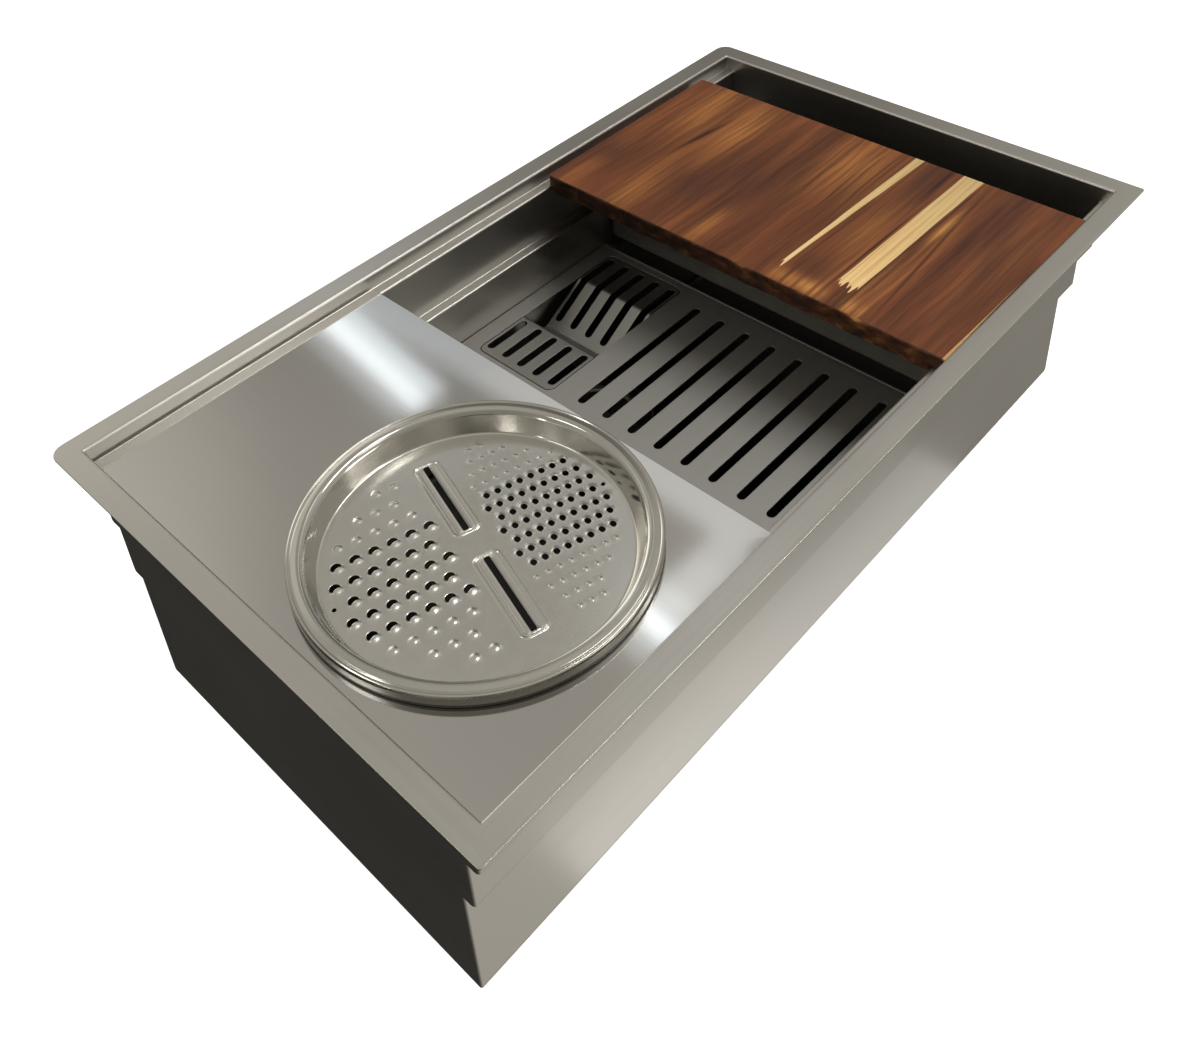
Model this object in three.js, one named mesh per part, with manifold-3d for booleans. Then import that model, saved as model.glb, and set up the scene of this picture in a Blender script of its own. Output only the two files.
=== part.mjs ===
// Workstation kitchen sink: a fabricated stainless bowl with three stepped
// ledges down each long wall, a cover plate with a round grater tray on it, a
// wooden board, a slotted drain platform with a lift-out strainer grate, a
// hanging colander tray under the board, and the basket strainer drain set.
// Millimetres. Origin: centre of the rim's top face. +X long way (board end),
// +Y rear long wall, +Z up.
import * as THREE from "three";
import { mergeVertices } from "three/addons/utils/BufferGeometryUtils.js";
import Module from "manifold-3d";

// ---- driving dimensions -------------------------------------------------
const LENGTH = 838; // rim, long way
const WIDTH = 482; // rim, short way
const RIM = 20; // rim width
const SHEET = 1.5; // bowl sheet thickness
const GAP = 0.3; // clearance between pieces that touch
const LEDGE = 11; // width of each ledge
const LEDGE_1 = -15.5; // top faces of the three ledges
const LEDGE_2 = -66.5;
const LEDGE_3 = -116.8;
const BOTTOM = -240; // underside of the bowl
const CORNER_REAR = 12; // rim corner radii
const CORNER_FRONT = 2.5;

const PLATE_X = [-398, -118];
const PLATE_Y = [-219, 218.2];
const PLATE_TOP = -13.7;
const PLATE_T = 1.5;
const PLATE_LIP = 12; // depth of the turned-down short edges
const PLATE_OPENING_R = 119.5; // round opening that the tray hangs in

const TRAY_R = 132.1;
const TRAY_H = 18.2; // underside of the floor to the rim's crest
const TRAY_HANG = 7.3; // floor's underside below the rim's lower edge
const TRAY_AT = [-256.7, -64.3];
const TRAY_TURN = -17; // degrees
const TRAY_T = 1.2; // sheet thickness
const TRAY_FLOOR_R = 110.1; // flat floor
const SLIT_LENGTH = 71.5;
const SLIT_WIDTH = 5.15;
const SLITS_AT = [
  [0.8, 54.3],
  [1.3, -47.1],
];
const SLIT_FRAME = [20.7, 77.8];

const BOARD_X = [101, 346];
const BOARD_Y = [-220.5, 213.5];
const BOARD_TOP = -3;
const BOARD_T = 18.5;
const BOARD_TONGUE = 12.2; // thickness of the part that rests on the ledge

const PLATFORM_X = [-56, 163.5];
const PLATFORM_Y = 198.4;
const PLATFORM_TOP = -115;
const PLATFORM_T = 1.5;
const PLATFORM_LIP = 12;
const SLOT_X = [-31.7, 139.5];
const SLOT_FIRST_Y = 54.9;
const SLOT_PITCH = 29.6;
const SLOT_COUNT = 8;
const SLOT_W = 8;

const INSERT_X = [-39.5, 152.5];
const INSERT_Y = [85, 181];
const INSERT_T = 1.2;
const INSERT_GAP = 0.9;
const INSERT_FLAT_END = 24.5; // where the near flat turns down
const INSERT_TROUGH = -145; // inside bottom of the finger trough
const INSERT_TROUGH_X = 53;
const INSERT_CREST_X = 103; // where the slotted slope reaches the top again
const BAR_PITCH = 20;

const COLANDER_X = [168, 345];
const COLANDER_TOP = -64.8;
const COLANDER_BOTTOM = -107.5;
const COLANDER_T = 1.2;

const DRAIN_AT = [58, 122];
const DRAIN_HOLE_R = 45;
const ROUND = 48; // segments of the large turned pieces
const SMALL_ROUND = 32;

// ---- helpers ------------------------------------------------------------
const wasm = await Module();
wasm.setup();

function solid(geometry, matrix) {
  const g = geometry.clone();
  if (matrix) g.applyMatrix4(matrix);
  g.deleteAttribute("normal");
  g.deleteAttribute("uv");
  const merged = mergeVertices(g, 1e-4);
  const index = merged.index ? merged.index.array : null;
  return new wasm.Manifold(
    new wasm.Mesh({
      numProp: 3,
      vertProperties: new Float32Array(merged.attributes.position.array),
      triVerts: new Uint32Array(index),
    }),
  );
}

function geometryOf(body) {
  const m = body.getMesh();
  const g = new THREE.BufferGeometry();
  g.setAttribute(
    "position",
    new THREE.BufferAttribute(new Float32Array(m.vertProperties), 3),
  );
  g.setIndex(new THREE.BufferAttribute(new Uint32Array(m.triVerts), 1));
  const flat = g.toNonIndexed();
  flat.computeVertexNormals();
  return flat;
}

const box = (x0, x1, y0, y1, z0, z1) =>
  solid(
    new THREE.BoxGeometry(x1 - x0, y1 - y0, z1 - z0),
    new THREE.Matrix4().makeTranslation(
      (x0 + x1) / 2,
      (y0 + y1) / 2,
      (z0 + z1) / 2,
    ),
  );

const shapeOf = (points) =>
  new THREE.Shape(points.map(([a, b]) => new THREE.Vector2(a, b)));

// A flat outline in X and Y, from z0 to z1.
function plateOf(points, z0, z1) {
  const g = new THREE.ExtrudeGeometry(shapeOf(points), {
    depth: z1 - z0,
    bevelEnabled: false,
    steps: 1,
  });
  return solid(g, new THREE.Matrix4().makeTranslation(0, 0, z0));
}

// An outline in Y and Z, swept from x0 to x1.
function alongX(points, x0, x1) {
  const g = new THREE.ExtrudeGeometry(shapeOf(points), {
    depth: x1 - x0,
    bevelEnabled: false,
    steps: 1,
  });
  const m = new THREE.Matrix4().makeBasis(
    new THREE.Vector3(0, 1, 0),
    new THREE.Vector3(0, 0, 1),
    new THREE.Vector3(1, 0, 0),
  );
  m.setPosition(x0, 0, 0);
  return solid(g, m);
}

// An outline in X and Z, swept from y0 to y1.
function alongY(points, y0, y1) {
  const g = new THREE.ExtrudeGeometry(shapeOf(points), {
    depth: y1 - y0,
    bevelEnabled: false,
    steps: 1,
  });
  const m = new THREE.Matrix4().makeBasis(
    new THREE.Vector3(1, 0, 0),
    new THREE.Vector3(0, 0, 1),
    new THREE.Vector3(0, -1, 0),
  );
  m.setPosition(0, y1, 0);
  return solid(g, m);
}

// A turned piece about Z. The profile is [radius, z] and closes on itself, or
// starts and ends on the axis.
function turned(profile, segments) {
  const closed = profile[0][0] > 1e-6;
  const pts = profile.map(([r, z]) => new THREE.Vector2(r, z));
  if (closed) pts.push(pts[0].clone());
  const g = new THREE.LatheGeometry(pts, segments);
  const m = new THREE.Matrix4().makeRotationX(Math.PI / 2);
  let s = solid(g, m);
  if (s.volume() < 0) {
    const r = new THREE.LatheGeometry([...pts].reverse(), segments);
    s = solid(r, m);
  }
  return s;
}

// A rectangle with its own radius at each corner, anticlockwise from the
// lower left.
function roundRect(x0, x1, y0, y1, radii, steps = 6) {
  const c = [
    [x0, y0, Math.PI, radii[0]],
    [x1, y0, 1.5 * Math.PI, radii[1]],
    [x1, y1, 0, radii[2]],
    [x0, y1, 0.5 * Math.PI, radii[3]],
  ];
  const out = [];
  c.forEach(([x, y, start, r]) => {
    const cx = x + (x === x0 ? r : -r);
    const cy = y + (y === y0 ? r : -r);
    for (let i = 0; i <= steps; i++) {
      const a = start + ((Math.PI / 2) * i) / steps;
      out.push([cx + r * Math.cos(a), cy + r * Math.sin(a)]);
    }
  });
  return out;
}

// A slot with round ends, between two x values.
function slot(x0, x1, y, w, z0, z1, steps = 5) {
  const r = w / 2;
  const pts = [];
  for (let i = 0; i <= steps; i++) {
    const a = -Math.PI / 2 + (Math.PI * i) / steps;
    pts.push([x1 - r + r * Math.cos(a), y + r * Math.sin(a)]);
  }
  for (let i = 0; i <= steps; i++) {
    const a = Math.PI / 2 + (Math.PI * i) / steps;
    pts.push([x0 + r + r * Math.cos(a), y + r * Math.sin(a)]);
  }
  return plateOf(pts, z0, z1);
}

const mirrorY = (points) => points.map(([y, z]) => [-y, z]).reverse();

const steel = (name, hex, rough) =>
  new THREE.MeshStandardMaterial({
    name,
    color: hex,
    roughness: rough,
    metalness: 1,
  });
const brushed = steel("brushed_steel", 0x9c988c, 0.34);
const satin = steel("satin_steel", 0xb4b4b2, 0.28);
const polished = steel("polished_steel", 0xbdbab2, 0.14);
const plain = (name, hex, rough) =>
  new THREE.MeshStandardMaterial({
    name,
    color: hex,
    roughness: rough,
    metalness: 0,
  });
const wood = plain("walnut_wood", 0x6e3c26, 0.5);
const rubber = plain("black_rubber", 0x191919, 0.8);
const nylon = plain("white_nylon", 0xd8d6cf, 0.5);

const sink = new THREE.Group();

function piece(parent, name, body, material) {
  const mesh = new THREE.Mesh(geometryOf(body), material.clone());
  mesh.name = name;
  parent.add(mesh);
  return mesh;
}

// ---- the bowl -----------------------------------------------------------
const HL = LENGTH / 2;
const HW = WIDTH / 2;
const INNER_X = HL - RIM; // inside face of each end wall
const INNER_Y = HW - RIM; // inside face of each long wall at the rim
const y1 = INNER_Y,
  y2 = y1 - LEDGE,
  y3 = y2 - LEDGE,
  y4 = y3 - LEDGE;

// The rim as one flat ring, cut into four mitred rails.
const rim = plateOf(
  roundRect(-HL, HL, -HW, HW, [
    CORNER_FRONT,
    CORNER_FRONT,
    CORNER_REAR,
    CORNER_REAR,
  ]),
  -SHEET,
  0,
).subtract(box(-INNER_X, INNER_X, -INNER_Y, INNER_Y, -SHEET - 1, 1));

const MITRE = GAP * 0.72;
const wedge = (pts) => plateOf(pts, -SHEET - 1, 1);
const rearWedge = wedge([
  [-HL - 10 + MITRE, HW + 10],
  [-INNER_X + MITRE, INNER_Y],
  [INNER_X - MITRE, INNER_Y],
  [HL + 10 - MITRE, HW + 10],
]);
const frontWedge = wedge([
  [-HL - 10 + MITRE, -HW - 10],
  [HL + 10 - MITRE, -HW - 10],
  [INNER_X - MITRE, -INNER_Y],
  [-INNER_X + MITRE, -INNER_Y],
]);
const rightWedgeCut = wedge([
  [INNER_X - 0.001, -INNER_Y + MITRE],
  [HL + 10, -HW - 10 + MITRE],
  [HL + 10, HW + 10 - MITRE],
  [INNER_X - 0.001, INNER_Y - MITRE],
]);
const leftWedgeCut = wedge([
  [-INNER_X + 0.001, -INNER_Y + MITRE],
  [-INNER_X + 0.001, INNER_Y - MITRE],
  [-HL - 10, HW + 10 - MITRE],
  [-HL - 10, -HW - 10 + MITRE],
]);

// One long wall: down from the rim, in over three ledges, to the floor.
const rearSteps = [
  [y1, -SHEET / 2],
  [y1, LEDGE_1],
  [y2, LEDGE_1],
  [y2, LEDGE_2],
  [y3, LEDGE_2],
  [y3, LEDGE_3],
  [y4, LEDGE_3],
  [y4, BOTTOM],
  [y4 + SHEET, BOTTOM],
  [y4 + SHEET, LEDGE_3 - SHEET],
  [y3 + SHEET, LEDGE_3 - SHEET],
  [y3 + SHEET, LEDGE_2 - SHEET],
  [y2 + SHEET, LEDGE_2 - SHEET],
  [y2 + SHEET, LEDGE_1 - SHEET],
  [y1 + SHEET, LEDGE_1 - SHEET],
  [y1 + SHEET, -SHEET / 2],
];
const wallX = INNER_X - GAP;
const backWall = alongX(rearSteps.slice().reverse(), -wallX, wallX).add(
  rim.intersect(rearWedge),
);
const frontWall = alongX(
  rearSteps.map(([y, z]) => [-y, z]),
  -wallX,
  wallX,
).add(rim.intersect(frontWedge));

// One end wall: a flat sheet whose edges follow the stepped long walls.
function endOutline() {
  const half = [
    [y1 + SHEET, -SHEET / 2],
    [y1 + SHEET, LEDGE_1 - SHEET],
    [y2 + SHEET, LEDGE_1 - SHEET],
    [y2 + SHEET, LEDGE_2 - SHEET],
    [y3 + SHEET, LEDGE_2 - SHEET],
    [y3 + SHEET, LEDGE_3 - SHEET],
    [y4 + SHEET, LEDGE_3 - SHEET],
    [y4 + SHEET, BOTTOM],
  ];
  const other = half.map(([y, z]) => [-y, z]).reverse();
  return [...half, ...other].reverse();
}
// Under the mitres the sheet stops short of the long rails.
const endSheet = (x0, x1) =>
  alongX(endOutline(), x0, x1)
    .subtract(box(x0 - 1, x1 + 1, y1 - GAP, y1 + 5, -SHEET - GAP, 1))
    .subtract(box(x0 - 1, x1 + 1, -y1 - 5, -y1 + GAP, -SHEET - GAP, 1));
const leftEnd = endSheet(-INNER_X - SHEET, -INNER_X).add(
  rim.intersect(leftWedgeCut),
);
const rightEnd = endSheet(INNER_X, INNER_X + SHEET).add(
  rim.intersect(rightWedgeCut),
);

const circle = (cx, cy, r, n) =>
  Array.from({ length: n }, (_, i) => [
    cx + r * Math.cos((2 * Math.PI * i) / n),
    cy + r * Math.sin((2 * Math.PI * i) / n),
  ]);
const floorPlate = box(
  -wallX,
  wallX,
  -y4 + GAP,
  y4 - GAP,
  BOTTOM,
  BOTTOM + SHEET,
).subtract(
  plateOf(
    circle(DRAIN_AT[0], DRAIN_AT[1], DRAIN_HOLE_R, ROUND),
    BOTTOM - 1,
    BOTTOM + SHEET + 1,
  ),
);

const bowl = new THREE.Group();
sink.add(bowl);
piece(bowl, "front_wall", frontWall, brushed);
piece(bowl, "back_wall", backWall, brushed);
piece(bowl, "left_end_wall", leftEnd, brushed);
piece(bowl, "right_end_wall", rightEnd, brushed);
piece(bowl, "basin_floor", floorPlate, brushed);

// ---- cover plate: a flat sheet on the top ledges, with a round opening -----
const [px0, px1] = PLATE_X,
  [py0, py1] = PLATE_Y;
let coverPlate = plateOf(
  roundRect(px0, px1, py0, py1, [2, 2, 2, 4], 3),
  PLATE_TOP - PLATE_T,
  PLATE_TOP,
);
// turned-down stiffening lips at both ends, clear of the ledges
for (const [a, b] of [
  [px0, px0 + PLATE_T],
  [px1 - PLATE_T, px1],
])
  coverPlate = coverPlate.add(
    box(a, b, -y2 + 4, y2 - 4, PLATE_TOP - PLATE_LIP, PLATE_TOP - PLATE_T / 2),
  );
coverPlate = coverPlate.subtract(
  turned(
    [
      [0, PLATE_TOP - PLATE_T - 1],
      [PLATE_OPENING_R, PLATE_TOP - PLATE_T - 1],
      [PLATE_OPENING_R, PLATE_TOP + 1],
      [0, PLATE_TOP + 1],
    ],
    96,
  ).translate([TRAY_AT[0], TRAY_AT[1], 0]),
);
piece(sink, "cover_plate", coverPlate, satin);

// ---- round grater tray, which hangs in the opening by its rim ---------------
const tray = new THREE.Group();
tray.position.set(TRAY_AT[0], TRAY_AT[1], PLATE_TOP + GAP - TRAY_HANG);
tray.rotation.z = THREE.MathUtils.degToRad(TRAY_TURN);
sink.add(tray);
const trayProfile = [
  [0, 0],
  [TRAY_FLOOR_R + 1.6, 0],
  [114.4, 1.4],
  [119.6, 14.2],
  [121.2, 16.4],
  [123.6, TRAY_H - TRAY_T],
  [127.5, 16.3],
  [129.2, 15.7],
  [130.5, 14.2],
  [130.9, TRAY_HANG],
  [TRAY_R, TRAY_HANG],
  [TRAY_R, 14.4],
  [131.4, 16.5],
  [130.1, 17.5],
  [129.1, 16.9],
  [127.8, 17.5],
  [123.6, TRAY_H],
  [120.5, 17.4],
  [118.5, 14.4],
  [113.4, 2.4],
  [TRAY_FLOOR_R + 1, TRAY_T],
  [0, TRAY_T],
];
let trayBody = turned(trayProfile, ROUND);
for (const [cx, cy] of SLITS_AT) {
  // a raised frame round each slicing slit
  const [w, l] = SLIT_FRAME.map((v) => v / 2);
  trayBody = trayBody.add(
    plateOf(
      roundRect(cx - w, cx + w, cy - l, cy + l, [6, 6, 6, 6], 4),
      0,
      TRAY_T + 0.5,
    ),
  );
}
for (const [cx, cy] of SLITS_AT)
  trayBody = trayBody.subtract(
    box(
      cx - SLIT_WIDTH / 2,
      cx + SLIT_WIDTH / 2,
      cy - SLIT_LENGTH / 2,
      cy + SLIT_LENGTH / 2,
      -1,
      20,
    ),
  );
piece(tray, "grater_tray", trayBody, polished);

// ---- wooden board ----------------------------------------------------------
const [bx0, bx1] = BOARD_X;
const boardTongue = box(
  bx0,
  bx1,
  BOARD_Y[0],
  BOARD_Y[1],
  BOARD_TOP - BOARD_TONGUE,
  BOARD_TOP,
);
const boardBody = boardTongue.add(
  box(bx0, bx1, -y2 + 2, y2 - 2, BOARD_TOP - BOARD_T, BOARD_TOP - 1),
);
piece(sink, "cutting_board", boardBody, wood);

// ---- slotted drain platform ------------------------------------------------
const [fx0, fx1] = PLATFORM_X;
const [ix0, ix1] = INSERT_X,
  [iy0, iy1] = INSERT_Y;
let platform = plateOf(
  roundRect(fx0, fx1, -PLATFORM_Y, PLATFORM_Y, [3, 3, 3, 3], 3),
  PLATFORM_TOP - PLATFORM_T,
  PLATFORM_TOP,
);
// turned-down stiffening lips at both ends, clear of the ledges
for (const [a, b] of [
  [fx0, fx0 + PLATFORM_T],
  [fx1 - PLATFORM_T, fx1],
])
  platform = platform.add(
    box(
      a,
      b,
      -y4 + 3,
      y4 - 3,
      PLATFORM_TOP - PLATFORM_LIP,
      PLATFORM_TOP - PLATFORM_T / 2,
    ),
  );
for (let i = 0; i < SLOT_COUNT; i++)
  platform = platform.subtract(
    slot(
      SLOT_X[0],
      SLOT_X[1],
      SLOT_FIRST_Y - i * SLOT_PITCH,
      SLOT_W,
      PLATFORM_TOP - 5,
      PLATFORM_TOP + 5,
    ),
  );
platform = platform.subtract(
  plateOf(
    roundRect(ix0, ix1, iy0, iy1, [8, 8, 8, 8], 5),
    PLATFORM_TOP - 5,
    PLATFORM_TOP + 5,
  ),
);
// joggled tabs at both ends of the opening carry the strainer grate
const TAB_Z = PLATFORM_TOP - INSERT_T - GAP;
for (const [a, b] of [
  [ix0 - 6, ix0 + 6],
  [ix1 - 4, ix1 + 6],
])
  platform = platform.add(
    box(a, b, iy0 + 12, iy1 - 12, TAB_Z - PLATFORM_T, TAB_Z),
  );
piece(sink, "drain_platform", platform, brushed);

// ---- strainer grate: one bent slotted sheet --------------------------------
const gx0 = ix0 + INSERT_GAP,
  gx1 = ix1 - INSERT_GAP,
  gy0 = iy0 + INSERT_GAP,
  gy1 = iy1 - INSERT_GAP;
const gt = INSERT_T;
const top = PLATFORM_TOP;
const grateProfile = [
  [gx0, top],
  [INSERT_FLAT_END - 1, top],
  [INSERT_FLAT_END, top - 1],
  [INSERT_FLAT_END, INSERT_TROUGH + 2],
  [INSERT_FLAT_END + 2, INSERT_TROUGH],
  [INSERT_TROUGH_X - 2, INSERT_TROUGH],
  [INSERT_TROUGH_X, INSERT_TROUGH + 1.2],
  [INSERT_CREST_X - 1, top - 0.6],
  [INSERT_CREST_X + 0.6, top],
  [gx1, top],
  [gx1, top - gt],
  [INSERT_CREST_X + 1, top - gt],
  [INSERT_TROUGH_X + 1.2, INSERT_TROUGH - 0.6],
  [INSERT_TROUGH_X - 2, INSERT_TROUGH - gt],
  [INSERT_FLAT_END + 1.4, INSERT_TROUGH - gt],
  [INSERT_FLAT_END - gt, INSERT_TROUGH + 1.4],
  [INSERT_FLAT_END - gt, top - gt],
  [gx0, top - gt],
];
let grate = alongY(grateProfile.slice().reverse(), gy0, gy1);
grate = grate.intersect(
  plateOf(
    roundRect(gx0, gx1, gy0, gy1, [7, 7, 7, 7], 5),
    INSERT_TROUGH - 5,
    top + 5,
  ),
);
const grateMid = (gy0 + gy1) / 2;
for (let i = -2; i <= 2; i++) {
  const y = grateMid + i * BAR_PITCH;
  grate = grate.subtract(
    slot(gx0 + 7, INSERT_FLAT_END - 5, y, 8, top - 5, top + 5),
  );
  grate = grate.subtract(
    slot(
      INSERT_TROUGH_X + 8,
      gx1 - 5.5,
      y,
      8,
      INSERT_TROUGH + 1,
      top + 5,
    ),
  );
}
piece(sink, "strainer_grate", grate, brushed);

// ---- colander tray hanging from the middle ledges ---------------------------
const [cx0, cx1] = COLANDER_X;
const cw = y3 - 2; // half width of its body between the walls
let colander = box(cx0, cx1, -cw, cw, COLANDER_BOTTOM, COLANDER_TOP)
  .subtract(
    box(
      cx0 + COLANDER_T,
      cx1 - COLANDER_T,
      -cw + COLANDER_T,
      cw - COLANDER_T,
      COLANDER_BOTTOM + COLANDER_T,
      COLANDER_TOP + 1,
    ),
  )
  .add(
    box(
      cx0,
      cx1,
      cw - COLANDER_T,
      y2 - 1.5,
      LEDGE_2 + GAP,
      COLANDER_TOP,
    ),
  )
  .add(
    box(
      cx0,
      cx1,
      -y2 + 1.5,
      -cw + COLANDER_T,
      LEDGE_2 + GAP,
      COLANDER_TOP,
    ),
  );
for (let i = -5; i <= 5; i++)
  colander = colander.subtract(
    slot(
      cx0 + 20,
      cx1 - 20,
      i * 30,
      7,
      COLANDER_BOTTOM - 1,
      COLANDER_BOTTOM + 4,
      3,
    ),
  );
piece(sink, "colander_tray", colander, brushed);

// ---- basket strainer drain set ----------------------------------------------
// Heights in this group are measured from the top of the bowl's floor.
const drain = new THREE.Group();
drain.position.set(DRAIN_AT[0], DRAIN_AT[1], BOTTOM + SHEET);
sink.add(drain);

const drainBody = turned(
  [
    [41.5, 2.0],
    [42.5, 2.3],
    [55, 2.3],
    [57, 1.3],
    [57, GAP],
    [44.3, GAP],
    [44.3, -30],
    [40, -44],
    [30, -49],
    [23.6, -50],
    [23.6, -68],
    [20.6, -68],
    [20.6, -47],
    [29, -46],
    [37.6, -41.5],
    [41.5, -29],
  ],
  ROUND,
);
piece(drain, "drain_body", drainBody, polished);

const ring = (r0, r1, z0, z1, n = ROUND) =>
  turned(
    [
      [r0, z0],
      [r1, z0],
      [r1, z1],
      [r0, z1],
    ],
    n,
  );
const under = -SHEET; // underside of the floor
piece(
  drain,
  "drain_gasket",
  ring(44.7, 57, under - GAP - 3, under - GAP),
  rubber,
);
piece(
  drain,
  "friction_washer",
  ring(44.7, 57, under - 2 * GAP - 4, under - 2 * GAP - 3),
  nylon,
);
let lockNut = ring(44.7, 56, under - 3 * GAP - 14, under - 3 * GAP - 4);
for (let i = 0; i < 6; i++) {
  const a = (i * Math.PI) / 3;
  lockNut = lockNut.add(
    solid(
      new THREE.BoxGeometry(9, 9, 10),
      new THREE.Matrix4()
        .makeRotationZ(a)
        .multiply(
          new THREE.Matrix4().makeTranslation(57, 0, under - 3 * GAP - 9),
        ),
    ),
  );
}
piece(drain, "lock_nut", lockNut, polished);

// The lift-out basket, with its seal and pull post.
let basket = turned(
  [
    [0, -33.6],
    [33, -33.6],
    [37, -29],
    [39, -2],
    [41, -0.4],
    [41, 0.8],
    [38, -0.6],
    [37.9, -2],
    [36, -28.4],
    [32.4, -32.4],
    [0, -32.4],
  ],
  SMALL_ROUND,
);
basket = basket.subtract(
  plateOf(circle(0, 0, 3.3, 16), -40, -20),
);
for (let i = 0; i < 8; i++) {
  const a = (i * Math.PI) / 4 + Math.PI / 8;
  basket = basket.subtract(
    solid(
      new THREE.BoxGeometry(18, 3.2, 8),
      new THREE.Matrix4()
        .makeRotationZ(a)
        .multiply(new THREE.Matrix4().makeTranslation(20, 0, -33)),
    ),
  );
  basket = basket.subtract(
    solid(
      new THREE.BoxGeometry(14, 3.2, 16),
      new THREE.Matrix4()
        .makeRotationZ(a)
        .multiply(new THREE.Matrix4().makeTranslation(38, 0, -16)),
    ),
  );
}
piece(drain, "strainer_basket", basket, polished);
piece(
  drain,
  "basket_seal",
  turned(
    [
      [3.3, -41.5],
      [24, -41.5],
      [25, -40],
      [24, -37.2],
      [10, -34],
      [3.3, -34],
    ],
    SMALL_ROUND,
  ),
  rubber,
);
piece(
  drain,
  "basket_post",
  turned(
    [
      [0, -44.5],
      [6, -44.5],
      [6, -41.9],
      [3, -41.9],
      [3, -32],
      [5.5, -31.6],
      [3.2, -28],
      [3.2, 4],
      [8, 7],
      [9.5, 10],
      [8.5, 13.4],
      [5, 15],
      [0, 15.4],
    ],
    SMALL_ROUND,
  ),
  polished,
);

piece(
  drain,
  "tailpiece_washer",
  ring(17, 23.4, -68 - GAP - 2, -68 - GAP, SMALL_ROUND),
  nylon,
);
const tailTop = -68 - 2 * GAP - 2;
piece(
  drain,
  "tailpiece",
  turned(
    [
      [17.4, tailTop],
      [23.2, tailTop],
      [23.2, tailTop - 1.6],
      [19, tailTop - 1.6],
      [19, tailTop - 70],
      [17.4, tailTop - 70],
    ],
    SMALL_ROUND,
  ),
  polished,
);
let couplingNut = turned(
  [
    [19.4, tailTop - 1.6 - GAP - 2.4],
    [29, tailTop - 1.6 - GAP - 2.4],
    [29, -56],
    [24, -56],
    [24, tailTop - 1.6 - GAP],
    [19.4, tailTop - 1.6 - GAP],
  ],
  SMALL_ROUND,
);
for (let i = 0; i < 6; i++) {
  const a = (i * Math.PI) / 3;
  couplingNut = couplingNut.add(
    solid(
      new THREE.BoxGeometry(5, 8, 16),
      new THREE.Matrix4()
        .makeRotationZ(a)
        .multiply(new THREE.Matrix4().makeTranslation(29.5, 0, -66)),
    ),
  );
}
piece(drain, "coupling_nut", couplingNut, polished);

export default sink;
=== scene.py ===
"""Looks of a workstation kitchen sink: a steel bowl with stepped ledges, a cover
plate, a round grater tray, a wooden board, a slotted drain platform with its
strainer grate, a colander tray and the basket strainer. Blender 4.5, metres."""

import math
import random

import bpy
import numpy as np
from mathutils import Matrix, Vector, geometry


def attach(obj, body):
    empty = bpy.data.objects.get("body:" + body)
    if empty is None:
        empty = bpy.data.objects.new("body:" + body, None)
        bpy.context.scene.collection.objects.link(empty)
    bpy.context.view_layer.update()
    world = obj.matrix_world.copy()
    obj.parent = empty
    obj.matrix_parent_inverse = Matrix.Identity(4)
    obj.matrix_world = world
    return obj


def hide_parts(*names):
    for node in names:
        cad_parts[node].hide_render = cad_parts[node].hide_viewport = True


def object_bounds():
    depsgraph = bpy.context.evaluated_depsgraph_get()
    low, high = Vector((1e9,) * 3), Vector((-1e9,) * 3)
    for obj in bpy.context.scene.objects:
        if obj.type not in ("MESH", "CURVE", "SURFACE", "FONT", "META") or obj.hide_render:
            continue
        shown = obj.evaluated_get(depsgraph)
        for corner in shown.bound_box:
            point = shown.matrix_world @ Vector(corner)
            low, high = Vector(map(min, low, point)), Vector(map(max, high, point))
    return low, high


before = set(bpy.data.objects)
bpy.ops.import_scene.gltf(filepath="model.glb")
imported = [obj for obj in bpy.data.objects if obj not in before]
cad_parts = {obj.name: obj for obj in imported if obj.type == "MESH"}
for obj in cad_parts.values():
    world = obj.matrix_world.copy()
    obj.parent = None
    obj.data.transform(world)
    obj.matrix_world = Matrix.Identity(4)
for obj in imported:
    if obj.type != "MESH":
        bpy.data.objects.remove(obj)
cad_lo, cad_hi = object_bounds()
MM = 0.001
rng = random.Random(7)
scene = bpy.context.scene
scene.view_settings.view_transform = "Standard"
scene.view_settings.look = "None"


# ---------------------------------------------------------------- geometry kit
def unit(v):
    n = math.hypot(*v)
    return (v[0] / n, v[1] / n)


def fillet(points, radii, closed=False, steps=5):
    """A polyline in two dimensions with its corners rounded."""
    out = []
    n = len(points)
    for i, p in enumerate(points):
        r = radii[i] if isinstance(radii, (list, tuple)) else radii
        if r <= 0 or (not closed and i in (0, n - 1)):
            out.append(tuple(p))
            continue
        a, b = points[i - 1], points[(i + 1) % n]
        u = unit((a[0] - p[0], a[1] - p[1]))
        v = unit((b[0] - p[0], b[1] - p[1]))
        dot = max(-1, min(1, u[0] * v[0] + u[1] * v[1]))
        ang = math.acos(dot)
        if ang > math.pi - 0.02 or ang < 0.02:
            out.append(tuple(p))
            continue
        la = math.hypot(a[0] - p[0], a[1] - p[1])
        lb = math.hypot(b[0] - p[0], b[1] - p[1])
        t = min(r / math.tan(ang / 2), 0.49 * la, 0.49 * lb)
        r = t * math.tan(ang / 2)
        m = unit((u[0] + v[0], u[1] + v[1]))
        c = (p[0] + m[0] * r / math.sin(ang / 2), p[1] + m[1] * r / math.sin(ang / 2))
        s = (p[0] + u[0] * t, p[1] + u[1] * t)
        e = (p[0] + v[0] * t, p[1] + v[1] * t)
        a0 = math.atan2(s[1] - c[1], s[0] - c[0])
        a1 = math.atan2(e[1] - c[1], e[0] - c[0])
        d = (a1 - a0 + math.pi) % (2 * math.pi) - math.pi
        for k in range(steps + 1):
            w = a0 + d * k / steps
            out.append((c[0] + r * math.cos(w), c[1] + r * math.sin(w)))
    return out


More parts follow.
